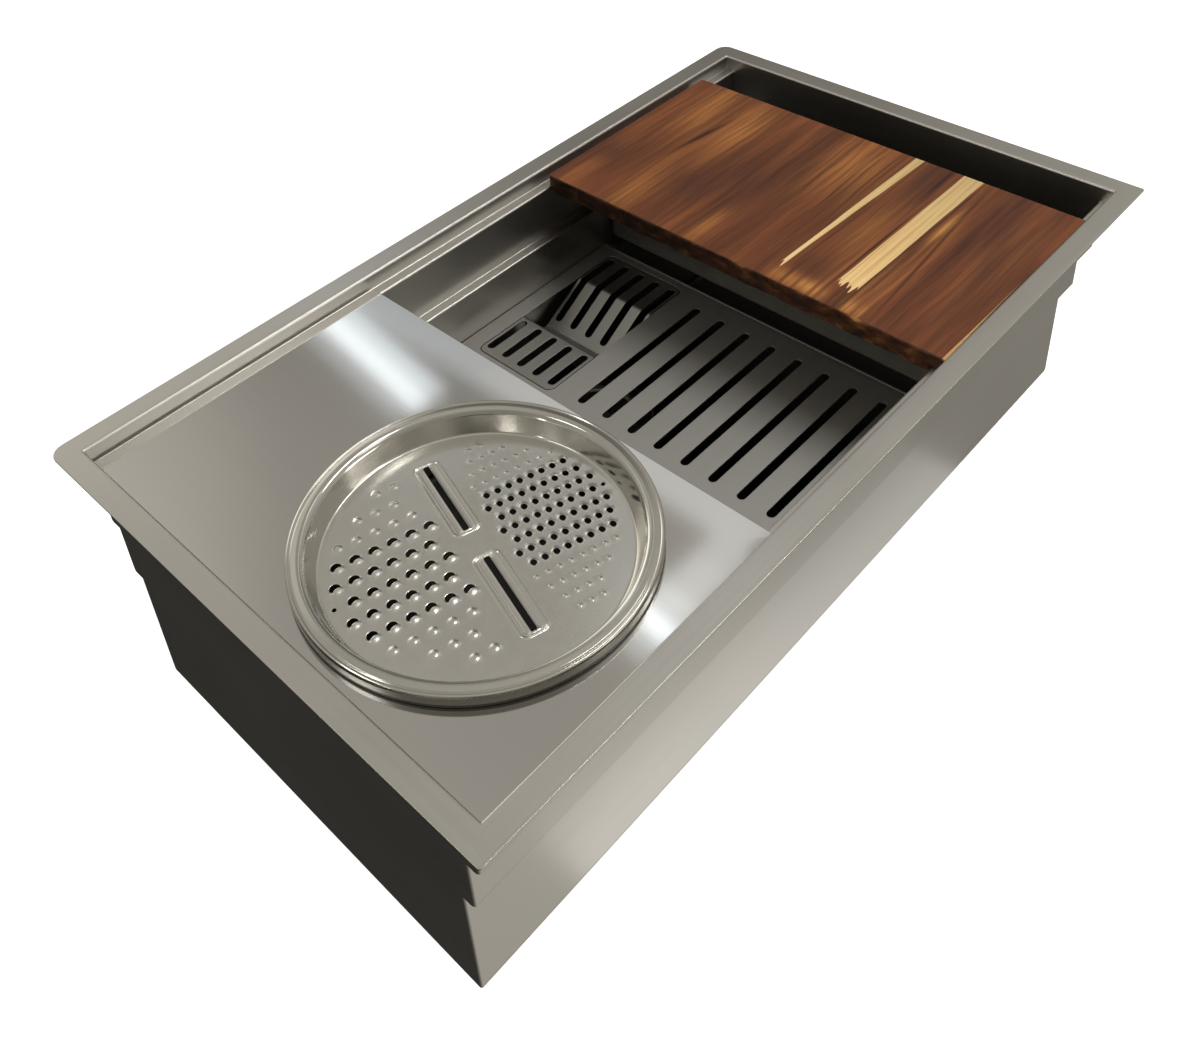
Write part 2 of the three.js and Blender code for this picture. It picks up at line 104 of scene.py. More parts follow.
def make(name, verts, faces, mats, body, hides=(), face_mats=None, wn=True):
    """A smooth-shaded mesh object in millimetres that rides on a body."""
    me = bpy.data.meshes.new(name)
    me.from_pydata([tuple(c * MM for c in v) for v in verts], [], faces)
    me.validate()
    for m in mats:
        me.materials.append(m)
    if face_mats is not None and len(face_mats) == len(me.polygons):
        me.polygons.foreach_set("material_index", face_mats)
    me.polygons.foreach_set("use_smooth", [True] * len(me.polygons))
    me.update()
    ob = bpy.data.objects.new(name, me)
    scene.collection.objects.link(ob)
    if wn:
        mod = ob.modifiers.new("normals", "WEIGHTED_NORMAL")
        mod.mode = "FACE_AREA"
        mod.weight = 80
        bake(ob)
    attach(ob, body)
    if hides:
        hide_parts(*hides)
    return ob


def bake(ob):
    """Applies the object's modifiers to its mesh."""
    dg = bpy.context.evaluated_depsgraph_get()
    me = bpy.data.meshes.new_from_object(ob.evaluated_get(dg))
    ob.modifiers.clear()
    ob.data = me


class Soup:
    """Verts and faces gathered piece by piece, in millimetres."""

    def __init__(self):
        self.v, self.f, self.m = [], [], []

    def add(self, verts, faces, mat=0):
        o = len(self.v)
        self.v += [tuple(p) for p in verts]
        self.f += [[i + o for i in f] for f in faces]
        self.m += list(mat) if isinstance(mat, (list, tuple)) else [mat] * len(faces)
        return o


def rect_loop(hx, hy, z, r, cx=0.0, cy=0.0, steps=5):
    """A rounded rectangle, anticlockwise from its low corner. r is one radius or four."""
    rr = r if isinstance(r, (list, tuple)) else (r,) * 4
    out = []
    for (sx, sy), a0, q in zip(
        ((-1, -1), (1, -1), (1, 1), (-1, 1)), (180, 270, 0, 90), rr
    ):
        q = min(q, hx * 0.98, hy * 0.98)
        for k in range(steps + 1):
            a = math.radians(a0 + 90 * k / steps)
            out.append(
                (
                    cx + sx * (hx - q) + q * math.cos(a),
                    cy + sy * (hy - q) + q * math.sin(a),
                    z,
                )
            )
    return out


def skin(soup, loops, mat=0, closed_path=False, flip=False, side_mat=None, steps=5):
    """Quads between loops of the same length."""
    n = len(loops[0])
    o = len(soup.v)
    for lp in loops:
        soup.v += [tuple(p) for p in lp]
    count = len(loops)
    for i in range(count if closed_path else count - 1):
        j = (i + 1) % count
        for k in range(n):
            q = (k + 1) % n
            f = [o + i * n + k, o + i * n + q, o + j * n + q, o + j * n + k]
            soup.f.append(f[::-1] if flip else f)
            m = mat
            if side_mat is not None and (k + 1) % (steps + 1) == 0:
                if ((k + 1) // (steps + 1)) % 2 == 0:
                    m = side_mat
            soup.m.append(m)
    return o


def loop_area(pts):
    return 0.5 * sum(
        a[0] * b[1] - b[0] * a[1] for a, b in zip(pts, pts[1:] + pts[:1])
    )


def offset_loop(pts, d):
    """Moves a closed loop to its left by d."""
    out = []
    n = len(pts)
    for i, p in enumerate(pts):
        a, b = pts[i - 1], pts[(i + 1) % n]
        u, v = unit((p[0] - a[0], p[1] - a[1])), unit((b[0] - p[0], b[1] - p[1]))
        nx, ny = -(u[1] + v[1]), u[0] + v[0]
        q = math.hypot(nx, ny)
        nx, ny = nx / q, ny / q
        s = max(0.35, nx * -u[1] + ny * u[0])
        out.append((p[0] + nx * d / s, p[1] + ny * d / s))
    return out


def refine(pts, longest):
    """Splits a closed loop's long edges. longest may be a function of the point."""
    out = []
    for a, b in zip(pts, pts[1:] + pts[:1]):
        lim = longest(((a[0] + b[0]) / 2, (a[1] + b[1]) / 2)) if callable(longest) else longest
        k = max(1, math.ceil(math.hypot(b[0] - a[0], b[1] - a[1]) / lim))
        for i in range(k):
            out.append((a[0] + (b[0] - a[0]) * i / k, a[1] + (b[1] - a[1]) * i / k))
    return out


def inside(points, loop):
    """Which points lie inside a closed loop."""
    hit = np.zeros(len(points), bool)
    nxt = np.roll(loop, -1, axis=0)
    for (x0, y0), (x1, y1) in zip(loop, nxt):
        if y0 == y1:
            continue
        cross = (points[:, 1] < y0) != (points[:, 1] < y1)
        hit ^= cross & (points[:, 0] < (x1 - x0) * (points[:, 1] - y0) / (y1 - y0) + x0)
    return hit


def plane_mesh(loops, extra=()):
    """Triangles of the region inside loops[0] and outside the rest. Returns verts, faces and each loop's vertex numbers."""
    co, edges, spans = [], [], []
    for lp in loops:
        o = len(co)
        co += [Vector(p) for p in lp]
        edges += [(o + i, o + (i + 1) % len(lp)) for i in range(len(lp))]
        spans.append(range(o, o + len(lp)))
    co += [Vector(p) for p in extra]
    v, _, f, ov, _, _ = geometry.delaunay_2d_cdt(co, edges, [], 0, 1e-5)
    where = {}
    for i, olds in enumerate(ov):
        for old in olds:
            where[old] = i
    ids = [[where[i] for i in s] for s in spans]
    pts = np.array([tuple(p) for p in v])
    tri = np.array([list(q) for q in f])
    a, b, c = pts[tri[:, 0]], pts[tri[:, 1]], pts[tri[:, 2]]
    area = (b[:, 0] - a[:, 0]) * (c[:, 1] - a[:, 1]) - (b[:, 1] - a[:, 1]) * (c[:, 0] - a[:, 0])
    tri[area < 0] = tri[area < 0][:, ::-1]
    mid = (a + b + c) / 3
    live = np.abs(area) > 1e-9
    live &= inside(mid, np.array(loops[0]))
    for lp in loops[1:]:
        q = np.array(lp)
        box = (mid >= q.min(0)).all(1) & (mid <= q.max(0)).all(1) & live
        idx = np.nonzero(box)[0]
        live[idx[inside(mid[idx], q)]] = False
    return [tuple(p) for p in v], [list(map(int, t)) for t in tri[live]], ids


def sheet(soup, outer, holes, t, place, edge=0.3, extra=(), mat=0, bottom=True):
    """A sheet of thickness t with rounded edges. place(s, y, h) gives the point at height h over the sheet's middle."""
    if loop_area(outer) < 0:
        outer = outer[::-1]
    loops = [outer] + [h if loop_area(h) < 0 else h[::-1] for h in holes]
    e = min(edge, t / 2 - 0.02)
    inset = [offset_loop(lp, e) for lp in loops]
    v, tris, ids = plane_mesh(inset, extra)
    top = soup.add([place(p[0], p[1], t / 2) for p in v], tris, mat)
    low = soup.add(
        [place(p[0], p[1], -t / 2) for p in v], [f[::-1] for f in tris], mat
    )
    ring = [
        (e * (1 - math.sin(a)), t / 2 - e * (1 - math.cos(a)))
        for a in (math.radians(30), math.radians(60), math.radians(90))
    ]
    ring = ring + [(d, -h) for d, h in ring[::-1]]
    for lp, idx in zip(loops, ids):
        n = len(lp)
        rows = [[top + i for i in idx]]
        for d, h in ring:
            pts = offset_loop(lp, d)
            o = len(soup.v)
            soup.v += [place(p[0], p[1], h) for p in pts]
            rows.append(list(range(o, o + n)))
        rows.append([low + i for i in idx])
        for r0, r1 in zip(rows, rows[1:]):
            for k in range(n):
                q = (k + 1) % n
                soup.f.append([r0[q], r0[k], r1[k], r1[q]])
                soup.m.append(mat)


def stadium(x0, x1, y, w, n=8):
    r = w / 2
    pts = []
    for i in range(n + 1):
        a = -math.pi / 2 + math.pi * i / n
        pts.append((x1 - r + r * math.cos(a), y + r * math.sin(a)))
    for i in range(n + 1):
        a = math.pi / 2 + math.pi * i / n
        pts.append((x0 + r + r * math.cos(a), y + r * math.sin(a)))
    return pts


def flat_rect(x0, x1, y0, y1, r, steps=6):
    return [
        (p[0], p[1])
        for p in rect_loop((x1 - x0) / 2, (y1 - y0) / 2, 0, r, (x0 + x1) / 2, (y0 + y1) / 2, steps)
    ]


def lathe(soup, profile, seg=128, cx=0.0, cy=0.0, cz=0.0, closed=True, mat=0):
    """Turns a profile of (radius, z) about Z. A closed profile runs anticlockwise, seen with r to the right and z up."""
    rows = []
    for r, z in profile:
        o = len(soup.v)
        if r < 1e-6:
            soup.v.append((cx, cy, cz + z))
            rows.append([o] * seg)
        else:
            for k in range(seg):
                a = 2 * math.pi * k / seg
                soup.v.append((cx + r * math.cos(a), cy + r * math.sin(a), cz + z))
            rows.append(list(range(o, o + seg)))
    pairs = list(zip(rows, rows[1:]))
    if closed:
        pairs.append((rows[-1], rows[0]))
    for r0, r1 in pairs:
        if r0[0] == r0[1] and r1[0] == r1[1]:
            continue
        for k in range(seg):
            q = (k + 1) % seg
            f = [r0[k], r0[q], r1[q], r1[k]]
            seen = []
            for i in f:
                if i not in seen:
                    seen.append(i)
            if len(seen) > 2:
                soup.f.append(seen)
                soup.m.append(mat)


# ------------------------------------------------------------------- materials
def nodes_of(name):
    m = bpy.data.materials.new(name)
    m.use_nodes = True
    nt = m.node_tree
    nt.nodes.clear()
    out = nt.nodes.new("ShaderNodeOutputMaterial")
    bsdf = nt.nodes.new("ShaderNodeBsdfPrincipled")
    nt.links.new(bsdf.outputs[0], out.inputs[0])
    return m, nt, bsdf


def node(nt, kind, **values):
    n = nt.nodes.new(kind)
    for key, val in values.items():
        if key in n.inputs:
            n.inputs[key].default_value = val
        else:
            setattr(n, key, val)
    return n


def mapping(nt, scale, rotation=(0, 0, 0)):
    tc = nt.nodes.new("ShaderNodeTexCoord")
    mp = nt.nodes.new("ShaderNodeMapping")
    mp.inputs["Scale"].default_value = scale
    mp.inputs["Rotation"].default_value = rotation
    nt.links.new(tc.outputs["Object"], mp.inputs["Vector"])
    return mp


def noise(nt, vec, scale=1.0, detail=4.0, rough=0.5, distortion=0.0):
    n = nt.nodes.new("ShaderNodeTexNoise")
    n.inputs["Scale"].default_value = scale
    n.inputs["Detail"].default_value = detail
    n.inputs["Roughness"].default_value = rough
    n.inputs["Distortion"].default_value = distortion
    nt.links.new(vec.outputs[0], n.inputs["Vector"])
    return n


def ramp(nt, fac, stops, interp="LINEAR"):
    r = nt.nodes.new("ShaderNodeValToRGB")
    r.color_ramp.interpolation = interp
    el = r.color_ramp.elements
    while len(el) > 1:
        el.remove(el[-1])
    el[0].position, el[0].color = stops[0][0], tuple(stops[0][1]) + (1,)
    for pos, col in stops[1:]:
        e = el.new(pos)
        e.color = tuple(col) + (1,)
    nt.links.new(fac, r.inputs[0])
    return r


def grey(v):
    return (v, v, v)


def steel(name, base, rough, along="x", spread=0.05, bump=0.05, fine=900, stains=0.04, aniso=0.0):
    """Brushed sheet. The grain runs along one axis; larger, fainter clouds vary the sheen."""
    m, nt, b = nodes_of(name)
    lo, hi = 6.0, float(fine)
    sc = {"x": (lo, hi, hi), "y": (hi, lo, hi), "z": (hi, hi, lo)}[along]
    grain = noise(nt, mapping(nt, sc), 1.0, 3.0, 0.6)
    sc2 = tuple(v * (0.18 if v == hi else 0.35) for v in sc)
    streak = noise(nt, mapping(nt, sc2), 1.0, 3.0, 0.55)
    cloud = noise(nt, mapping(nt, (7, 7, 7)), 1.0, 4.0, 0.55)
    mix = node(nt, "ShaderNodeMix", data_type="FLOAT")
    mix.inputs[0].default_value = 0.45
    nt.links.new(grain.outputs[0], mix.inputs[2])
    nt.links.new(streak.outputs[0], mix.inputs[3])
    mix2 = node(nt, "ShaderNodeMix", data_type="FLOAT")
    mix2.inputs[0].default_value = 0.35
    nt.links.new(mix.outputs[0], mix2.inputs[2])
    nt.links.new(cloud.outputs[0], mix2.inputs[3])
    c0 = tuple(c * (1 - stains) for c in base)
    c1 = tuple(min(1, c * (1 + stains)) for c in base)
    col = ramp(nt, mix2.outputs[0], [(0.32, c0), (0.68, c1)])
    nt.links.new(col.outputs[0], b.inputs["Base Color"])
    rr = ramp(nt, mix2.outputs[0], [(0.3, grey(rough - spread)), (0.7, grey(rough + spread))])
    nt.links.new(rr.outputs[0], b.inputs["Roughness"])
    b.inputs["Metallic"].default_value = 1.0
    if aniso:
        b.inputs["Anisotropic"].default_value = aniso
    bp = node(nt, "ShaderNodeBump", Strength=bump, Distance=0.0002)
    nt.links.new(mix.outputs[0], bp.inputs["Height"])
    nt.links.new(bp.outputs[0], b.inputs["Normal"])
    return m


def polished(name, base, rough, spread=0.03, swirl=0.02):
    m, nt, b = nodes_of(name)
    big = noise(nt, mapping(nt, (9, 9, 9)), 1.0, 5.0, 0.6)
    small = noise(nt, mapping(nt, (160, 160, 160)), 1.0, 3.0, 0.6)
    mix = node(nt, "ShaderNodeMix", data_type="FLOAT")
    mix.inputs[0].default_value = 0.3
    nt.links.new(big.outputs[0], mix.inputs[2])
    nt.links.new(small.outputs[0], mix.inputs[3])
    col = ramp(nt, mix.outputs[0], [(0.35, tuple(c * 0.96 for c in base)), (0.65, tuple(min(1, c * 1.03) for c in base))])
    nt.links.new(col.outputs[0], b.inputs["Base Color"])
    rr = ramp(nt, mix.outputs[0], [(0.3, grey(rough - spread)), (0.7, grey(rough + spread))])
    nt.links.new(rr.outputs[0], b.inputs["Roughness"])
    b.inputs["Metallic"].default_value = 1.0
    bp = node(nt, "ShaderNodeBump", Strength=swirl, Distance=0.001)
    nt.links.new(big.outputs[0], bp.inputs["Height"])
    nt.links.new(bp.outputs[0], b.inputs["Normal"])
    return m


def matte(name, base, rough, grain=300, bump=0.1):
    m, nt, b = nodes_of(name)
    n = noise(nt, mapping(nt, (grain,) * 3), 1.0, 4.0, 0.6)
    col = ramp(nt, n.outputs[0], [(0.3, tuple(c * 0.88 for c in base)), (0.7, tuple(min(1, c * 1.1) for c in base))])
    nt.links.new(col.outputs[0], b.inputs["Base Color"])
    rr = ramp(nt, n.outputs[0], [(0.3, grey(rough - 0.06)), (0.7, grey(rough + 0.06))])
    nt.links.new(rr.outputs[0], b.inputs["Roughness"])
    bp = node(nt, "ShaderNodeBump", Strength=bump, Distance=0.0003)
    nt.links.new(n.outputs[0], bp.inputs["Height"])
    nt.links.new(bp.outputs[0], b.inputs["Normal"])
    return m


def maths(nt, op, a, b=None, clamp=False):
    n = nt.nodes.new("ShaderNodeMath")
    n.operation = op
    n.use_clamp = clamp
    for i, x in enumerate((a, b)):
        if x is None:
            continue
        if isinstance(x, (int, float)):
            n.inputs[i].default_value = x
        else:
            nt.links.new(x, n.inputs[i])
    return n.outputs[0]


def mix_colour(nt, fac, a, b):
    n = nt.nodes.new("ShaderNodeMix")
    n.data_type = "RGBA"
    if isinstance(fac, (int, float)):
        n.inputs[0].default_value = fac
    else:
        nt.links.new(fac, n.inputs[0])
    for i, x in ((6, a), (7, b)):
        if isinstance(x, tuple):
            n.inputs[i].default_value = x + (1,)
        else:
            nt.links.new(x, n.inputs[i])
    return n.outputs[2]


def wood():
    """Dark reddish hardwood with its grain along X, golden patches, dark veins and two pale sapwood streaks."""
    m, nt, b = nodes_of("oiled_hardwood")
    tc = nt.nodes.new("ShaderNodeTexCoord")
    sep = nt.nodes.new("ShaderNodeSeparateXYZ")
    nt.links.new(tc.outputs["Object"], sep.inputs[0])
    x, y = sep.outputs[0], sep.outputs[1]
    wob = noise(nt, mapping(nt, (6, 14, 14)), 1.0, 3.0, 0.5)
    wobble = maths(nt, "MULTIPLY", maths(nt, "SUBTRACT", wob.outputs[0], 0.5), 0.014)
    yy = maths(nt, "ADD", y, wobble)

    def grain_noise(fx, fy, detail, rough):
        v = nt.nodes.new("ShaderNodeCombineXYZ")
        nt.links.new(maths(nt, "MULTIPLY", x, fx), v.inputs[0])
        nt.links.new(maths(nt, "MULTIPLY", yy, fy), v.inputs[1])
        nt.links.new(maths(nt, "MULTIPLY", sep.outputs[2], fy), v.inputs[2])
        return noise(nt, v, 1.0, detail, rough, 0.25)

    def times(a, bb, fac=1.0):
        mul = nt.nodes.new("ShaderNodeMix")
        mul.data_type = "RGBA"
        mul.blend_type = "MULTIPLY"
        mul.inputs[0].default_value = fac
        nt.links.new(a, mul.inputs[6])
        nt.links.new(bb, mul.inputs[7])
        return mul.outputs[2]

    bands = grain_noise(3.6, 42.0, 3.0, 0.5)
    colour = ramp(
        nt,
        bands.outputs[0],
        [
            (0.28, (0.080, 0.026, 0.012)),
            (0.42, (0.138, 0.044, 0.018)),
            (0.55, (0.195, 0.063, 0.024)),
            (0.72, (0.320, 0.116, 0.037)),
        ],
    ).outputs[0]
    threads = grain_noise(7.0, 250.0, 3.0, 0.55)

    def patch(colour, at, size, slant, tint, amount, streaky=0.5):
        """An elongated patch along the grain. Sizes and places in millimetres."""
        (px, py), (rx, ry) = at, size
        dx = maths(nt, "SUBTRACT", x, px * MM)
        line = maths(nt, "ADD", maths(nt, "MULTIPLY", dx, slant), py * MM)
        dy = maths(nt, "SUBTRACT", yy if ry > 6 else y, line)
        u = maths(nt, "DIVIDE", dx, rx * MM)
        v = maths(nt, "DIVIDE", dy, ry * MM)
        q = maths(nt, "ADD", maths(nt, "MULTIPLY", u, u), maths(nt, "MULTIPLY", v, v))
        f = maths(nt, "EXPONENT", maths(nt, "MULTIPLY", q, -1.0))
        if streaky:
            k = maths(nt, "MULTIPLY", maths(nt, "SUBTRACT", threads.outputs[0], 0.38), 4.0, clamp=True)
            k = maths(nt, "ADD", maths(nt, "MULTIPLY", k, streaky), 1.0 - streaky)
            f = maths(nt, "MULTIPLY", f, k)
        f = maths(nt, "MULTIPLY", f, amount, clamp=True)
        return mix_colour(nt, f, colour, tint)

    GOLD, AMBER, DARK, PLUM = (0.46, 0.190, 0.052), (0.62, 0.295, 0.085), (0.022, 0.008, 0.005), (0.058, 0.024, 0.016)
    for at, size, slant, tint, amount, streaky in (
        ((216, 50), (60, 45), 0, PLUM, 0.45, 0.2),
        ((172, 192), (26, 17), 0, PLUM, 0.75, 0.1),
        ((178, 96), (24, 24), 0, PLUM, 0.55, 0.2),
        ((330, -75), (62, 15), 0, PLUM, 0.60, 0.2),
        ((140, -72), (16, 20), 0, PLUM, 0.45, 0.2),
        ((250, -180), (95, 10), 0.12, PLUM, 0.60, 0.2),
        ((300, 167), (68, 19), 0, GOLD, 0.85, 0.45),
        ((285, 114), (58, 17), 0, GOLD, 0.85, 0.45),
        ((298, -12), (62, 30), 0, GOLD, 0.75, 0.6),
        ((132, 128), (40, 13), 0, GOLD, 0.75, 0.4),
        ((128, 37), (30, 8), 0, GOLD, 0.80, 0.4),
        ((213, -79), (52, 13), 0, GOLD, 0.60, 0.4),
        ((150, -132), (60, 10), 0, GOLD, 0.70, 0.7),
        ((258, -131), (26, 4.5), 0, AMBER, 0.95, 0.3),
        ((113, -84), (9, 17), 0, AMBER, 0.80, 0.8),
        ((112, -60), (10, 14), 0, GOLD, 0.80, 0.6),
        ((112, -132), (10, 10), 0, AMBER, 0.70, 0.8),
        ((255, 138.5), (38, 3.0), -0.125, DARK, 0.95, 0.0),
        ((325, -90.5), (34, 2.2), 0, DARK, 0.90, 0.2),
        ((200, -97.3), (75, 1.3), -0.013, DARK, 0.90, 0.0),
        ((300, -124.0), (60, 1.2), -0.013, DARK, 0.80, 0.0),
        ((215, -140.5), (115, 1.7), 0.08, DARK, 0.80, 0.1),
        ((200, -59.5), (80, 1.6), -0.03, DARK, 0.60, 0.2),
        ((270, -200), (60, 5), 0, GOLD, 0.30, 0.5),
    ):
        colour = patch(colour, at, size, slant, tint, amount, streaky)
    tone = ramp(nt, threads.outputs[0], [(0.32, grey(0.72)), (0.50, grey(1.0)), (0.68, grey(1.22))])
    colour = times(colour, tone.outputs[0], 0.85)
    # fine pores
    fine = noise(nt, mapping(nt, (22, 700, 700)), 1.0, 3.0, 0.6)
    pores = ramp(nt, fine.outputs[0], [(0.30, grey(0.70)), (0.52, grey(1.0))])
    colour = times(colour, pores.outputs[0], 0.7)
    # pale streaks: a centre line in y and a half width, both changing along x
    edge = noise(nt, mapping(nt, (9, 60, 60)), 1.0, 3.0, 0.5)
    frays = noise(nt, mapping(nt, (4, 330, 330)), 1.0, 1.0, 0.5)
    figure = noise(nt, mapping(nt, (8, 300, 300)), 1.0, 4.0, 0.6)
    pale = ramp(nt, figure.outputs[0], [(0.3, (0.74, 0.47, 0.19)), (0.5, (0.92, 0.66, 0.31)), (0.72, (0.97, 0.76, 0.42))])
    fade = ramp(nt, maths(nt, "MULTIPLY", x, 2.6), [(0.36, grey(1.0)), (0.90, grey(0.72))])
    pale_colour = times(pale.outputs[0], fade.outputs[0])

    def streak(colour, y_at, slope, half, half_slope, x_from, soft, amount, ragged=0.008, comb=0.0):
        centre = maths(nt, "ADD", maths(nt, "MULTIPLY", x, slope), y_at)
        off = maths(nt, "ABSOLUTE", maths(nt, "SUBTRACT", y, centre))
        wide = maths(nt, "ADD", maths(nt, "MULTIPLY", x, half_slope), half)
        rag = maths(nt, "MULTIPLY", maths(nt, "SUBTRACT", edge.outputs[0], 0.5), ragged)
        inside = maths(nt, "SUBTRACT", maths(nt, "ADD", wide, rag), off)
        f = maths(nt, "DIVIDE", inside, soft, clamp=True)
        fr = maths(nt, "MULTIPLY", maths(nt, "SUBTRACT", frays.outputs[0], 0.5), 0.03)
        if comb:
            teeth = maths(nt, "SINE", maths(nt, "MULTIPLY", y, 2 * math.pi / comb))
            fr = maths(nt, "ADD", fr, maths(nt, "MULTIPLY", teeth, 0.0035))
        start = maths(nt, "DIVIDE", maths(nt, "SUBTRACT", maths(nt, "ADD", x, fr), x_from), 0.0015, clamp=True)
        f = maths(nt, "MULTIPLY", maths(nt, "MULTIPLY", f, start), amount)
        return mix_colour(nt, f, colour, pale_colour)

    colour = streak(colour, -0.1075, -0.0134, 0.0104, 0.0, 0.132, 0.0009, 1.0, 0.004, 0.0043)
    colour = streak(colour, -0.0444, -0.0315, 0.0004, 0.0135, 0.126, 0.0008, 1.0, 0.003)
    colour = streak(colour, -0.2188, 0.0, 0.0030, -0.0120, 0.090, 0.0008, 0.55, 0.001)
    # the near end: dark end grain, with golden flecks towards the front; towards the rear the end face is painted
    # darker, painted shade
    flecks = noise(nt, mapping(nt, (40, 60, 120)), 1.0, 3.0, 0.5)
    end = ramp(
        nt, flecks.outputs[0],
        [(0.36, (0.030, 0.012, 0.006)), (0.55, (0.085, 0.031, 0.012)), (0.66, (0.17, 0.070, 0.024)), (0.78, (0.36, 0.17, 0.055))],
    )
    # darker towards the rear of the end face: painted shade
    front = ramp(nt, maths(nt, "ADD", maths(nt, "MULTIPLY", y, -2.5), 0.5), [(0.25, grey(0.30)), (0.85, grey(1.0))])
    at_end = maths(nt, "DIVIDE", maths(nt, "SUBTRACT", 0.1036, x), 0.0012, clamp=True)
    colour = mix_colour(nt, at_end, colour, times(end.outputs[0], front.outputs[0]))
    nt.links.new(colour, b.inputs["Base Color"])
    rr = ramp(nt, fine.outputs[0], [(0.3, grey(0.52)), (0.7, grey(0.42))])
    nt.links.new(rr.outputs[0], b.inputs["Roughness"])
    b.inputs["Specular IOR Level"].default_value = 0.25
    hmix = node(nt, "ShaderNodeMix", data_type="FLOAT")
    hmix.inputs[0].default_value = 0.4
    nt.links.new(fine.outputs[0], hmix.inputs[2])
    nt.links.new(threads.outputs[0], hmix.inputs[3])
    bp = node(nt, "ShaderNodeBump", Strength=0.25, Distance=0.0005)
    nt.links.new(hmix.outputs[0], bp.inputs["Height"])
    nt.links.new(bp.outputs[0], b.inputs["Normal"])
    return m


WARM = (0.565, 0.55, 0.515)
bowl_x = steel("bowl_steel_long", WARM, 0.33, "x", bump=0.10)
bowl_y = steel("bowl_steel_end", WARM, 0.33, "y", bump=0.10)
# near-black steel for the deep inside of the bowl and its floor: painted shade
painted_shade_steel = steel("bowl_steel_painted_shade", (0.035, 0.034, 0.032), 0.5, "x", bump=0.10)
plate_mat = steel("cover_plate_satin", (0.62, 0.605, 0.58), 0.085, "y", spread=0.012, bump=0.02, stains=0.015)
platform_mat = steel("platform_satin", (0.43, 0.42, 0.395), 0.60, "x", spread=0.04, bump=0.06)
grate_mat = steel("grate_satin", (0.34, 0.335, 0.315), 0.42, "x", spread=0.04, bump=0.06)
# the colander's steel is darker than the bowl's: painted shade beneath the board
colander_shaded_steel = steel("colander_satin_painted_shade", (0.24, 0.235, 0.22), 0.42, "y", spread=0.04, bump=0.06)
tray_mat = polished("tray_polished", (0.65, 0.635, 0.595), 0.23)
tray_rim_mat = polished("tray_rim_polished", (0.60, 0.585, 0.54), 0.12)
# darker, rougher steel for the rim's outer skirt: painted shade
tray_skirt_shade_mat = polished("tray_skirt_painted_shade", (0.34, 0.33, 0.30), 0.28)
# dark steel for the tray's underside, its hole walls and the curl under the rim: painted shade
painted_shade_tray_steel = steel("tray_underside_painted_shade", (0.12, 0.115, 0.11), 0.5, "x", bump=0.04)
drain_mat = polished("drain_polished", (0.36, 0.355, 0.34), 0.30)
basket_mat = polished("basket_polished", (0.34, 0.335, 0.32), 0.32)
rubber_mat = matte("black_rubber", (0.022, 0.022, 0.022), 0.7)
nylon_mat = matte("white_nylon", (0.74, 0.72, 0.66), 0.45)
wood_mat = wood()

# ------------------------------------------------------------------- the bowl
HX, HY = 419.0, 241.0
STEPS = 5


def bowl_loops(path, inner_x, y1, low_y, floor_y, r_min):
    """Rounded rectangles that follow a path of (half width, height). The ends stay flat."""
    loops = []
    for hy, z in path:
        if hy >= y1 - 1e-6:
            hx = HX - (HY - hy)
        elif hy < floor_y:
            hx = inner_x - (floor_y - hy)
        else:
            hx = inner_x
        d = HY - hy
        rear, front = max(12 - d, r_min), max(2.5 - d, r_min)
        loops.append(rect_loop(hx, hy, z, (front, front, rear, rear), steps=STEPS))
    return loops


inner = fillet(
    [
        (241, -0.75), (241, 0), (221, 0), (221, -15.5), (210, -15.52), (210, -66.5),
        (199, -66.52), (199, -116.8), (188, -116.82), (188, -238.5), (150, -238.5),
    ],
    [0, 0.5, 2.2, 0.9, 1.8, 0.9, 1.8, 0.9, 1.8, 6, 0],
)[:-1]
outer = fillet(
    [
        (241, -0.75), (241, -1.5), (222.5, -1.5), (222.5, -17), (211.5, -17.02), (211.5, -68),
        (200.5, -68.02), (200.5, -118.3), (189.5, -118.32), (189.5, -240), (150, -240),
    ],
    [0, 0.5, 0.8, 2.4, 0.8, 2.4, 0.8, 2.4, 0.8, 7.5, 0],
)[:-1]
bowl = Soup()
in_loops = bowl_loops(inner, 399.0, 221.0, 210, 188.0, 1.2)
out_loops = bowl_loops(outer, 400.5, 222.5, 211.5, 189.5, 2.0)
o_in = skin(bowl, in_loops, 0, side_mat=1, steps=STEPS)
o_out = skin(bowl, out_loops, 0, flip=True, side_mat=1, steps=STEPS)
N = len(in_loops[0])
# below the third ledge the inside takes a near-black steel: painted shade in the deep bowl
for i in range(len(in_loops) - 1):
    if in_loops[i][0][2] < -120.0:
        for k in range(N):
            bowl.m[i * N + k] = 2
last_in = [o_in + (len(in_loops) - 1) * N + k for k in range(N)]
last_out = [o_out + (len(out_loops) - 1) * N + k for k in range(N)]
DX, DY = 58.0, 122.0


def ring_points(r, n, cx=DX, cy=DY):
    return [(cx + r * math.cos(2 * math.pi * k / n), cy + r * math.sin(2 * math.pi * k / n)) for k in range(n)]


def floor_fill(soup, loop_ids, z, up):
    """The flat floor inside a loop, with the drain hole."""
    rim = [soup.v[i][:2] for i in loop_ids]
    grid = [
        (x, y)
        for x in range(-380, 390, 20)
        for y in range(-170, 180, 20)
        if math.hypot(x - DX, y - DY) > 52
    ]
    hole = ring_points(45, 96)
    v, tris, ids = plane_mesh([list(rim), hole[::-1]], grid)
    o = len(soup.v)
    soup.v += [(p[0], p[1], z) for p in v]
    back = dict(zip([o + i for i in ids[0]], loop_ids))
    for t in tris:
        f = [back.get(o + i, o + i) for i in t]
        soup.f.append(f if up else f[::-1])
        # the floor's top takes the near-black steel: painted shade
        soup.m.append(2 if up else 0)
    return [o + i for i in ids[1]]


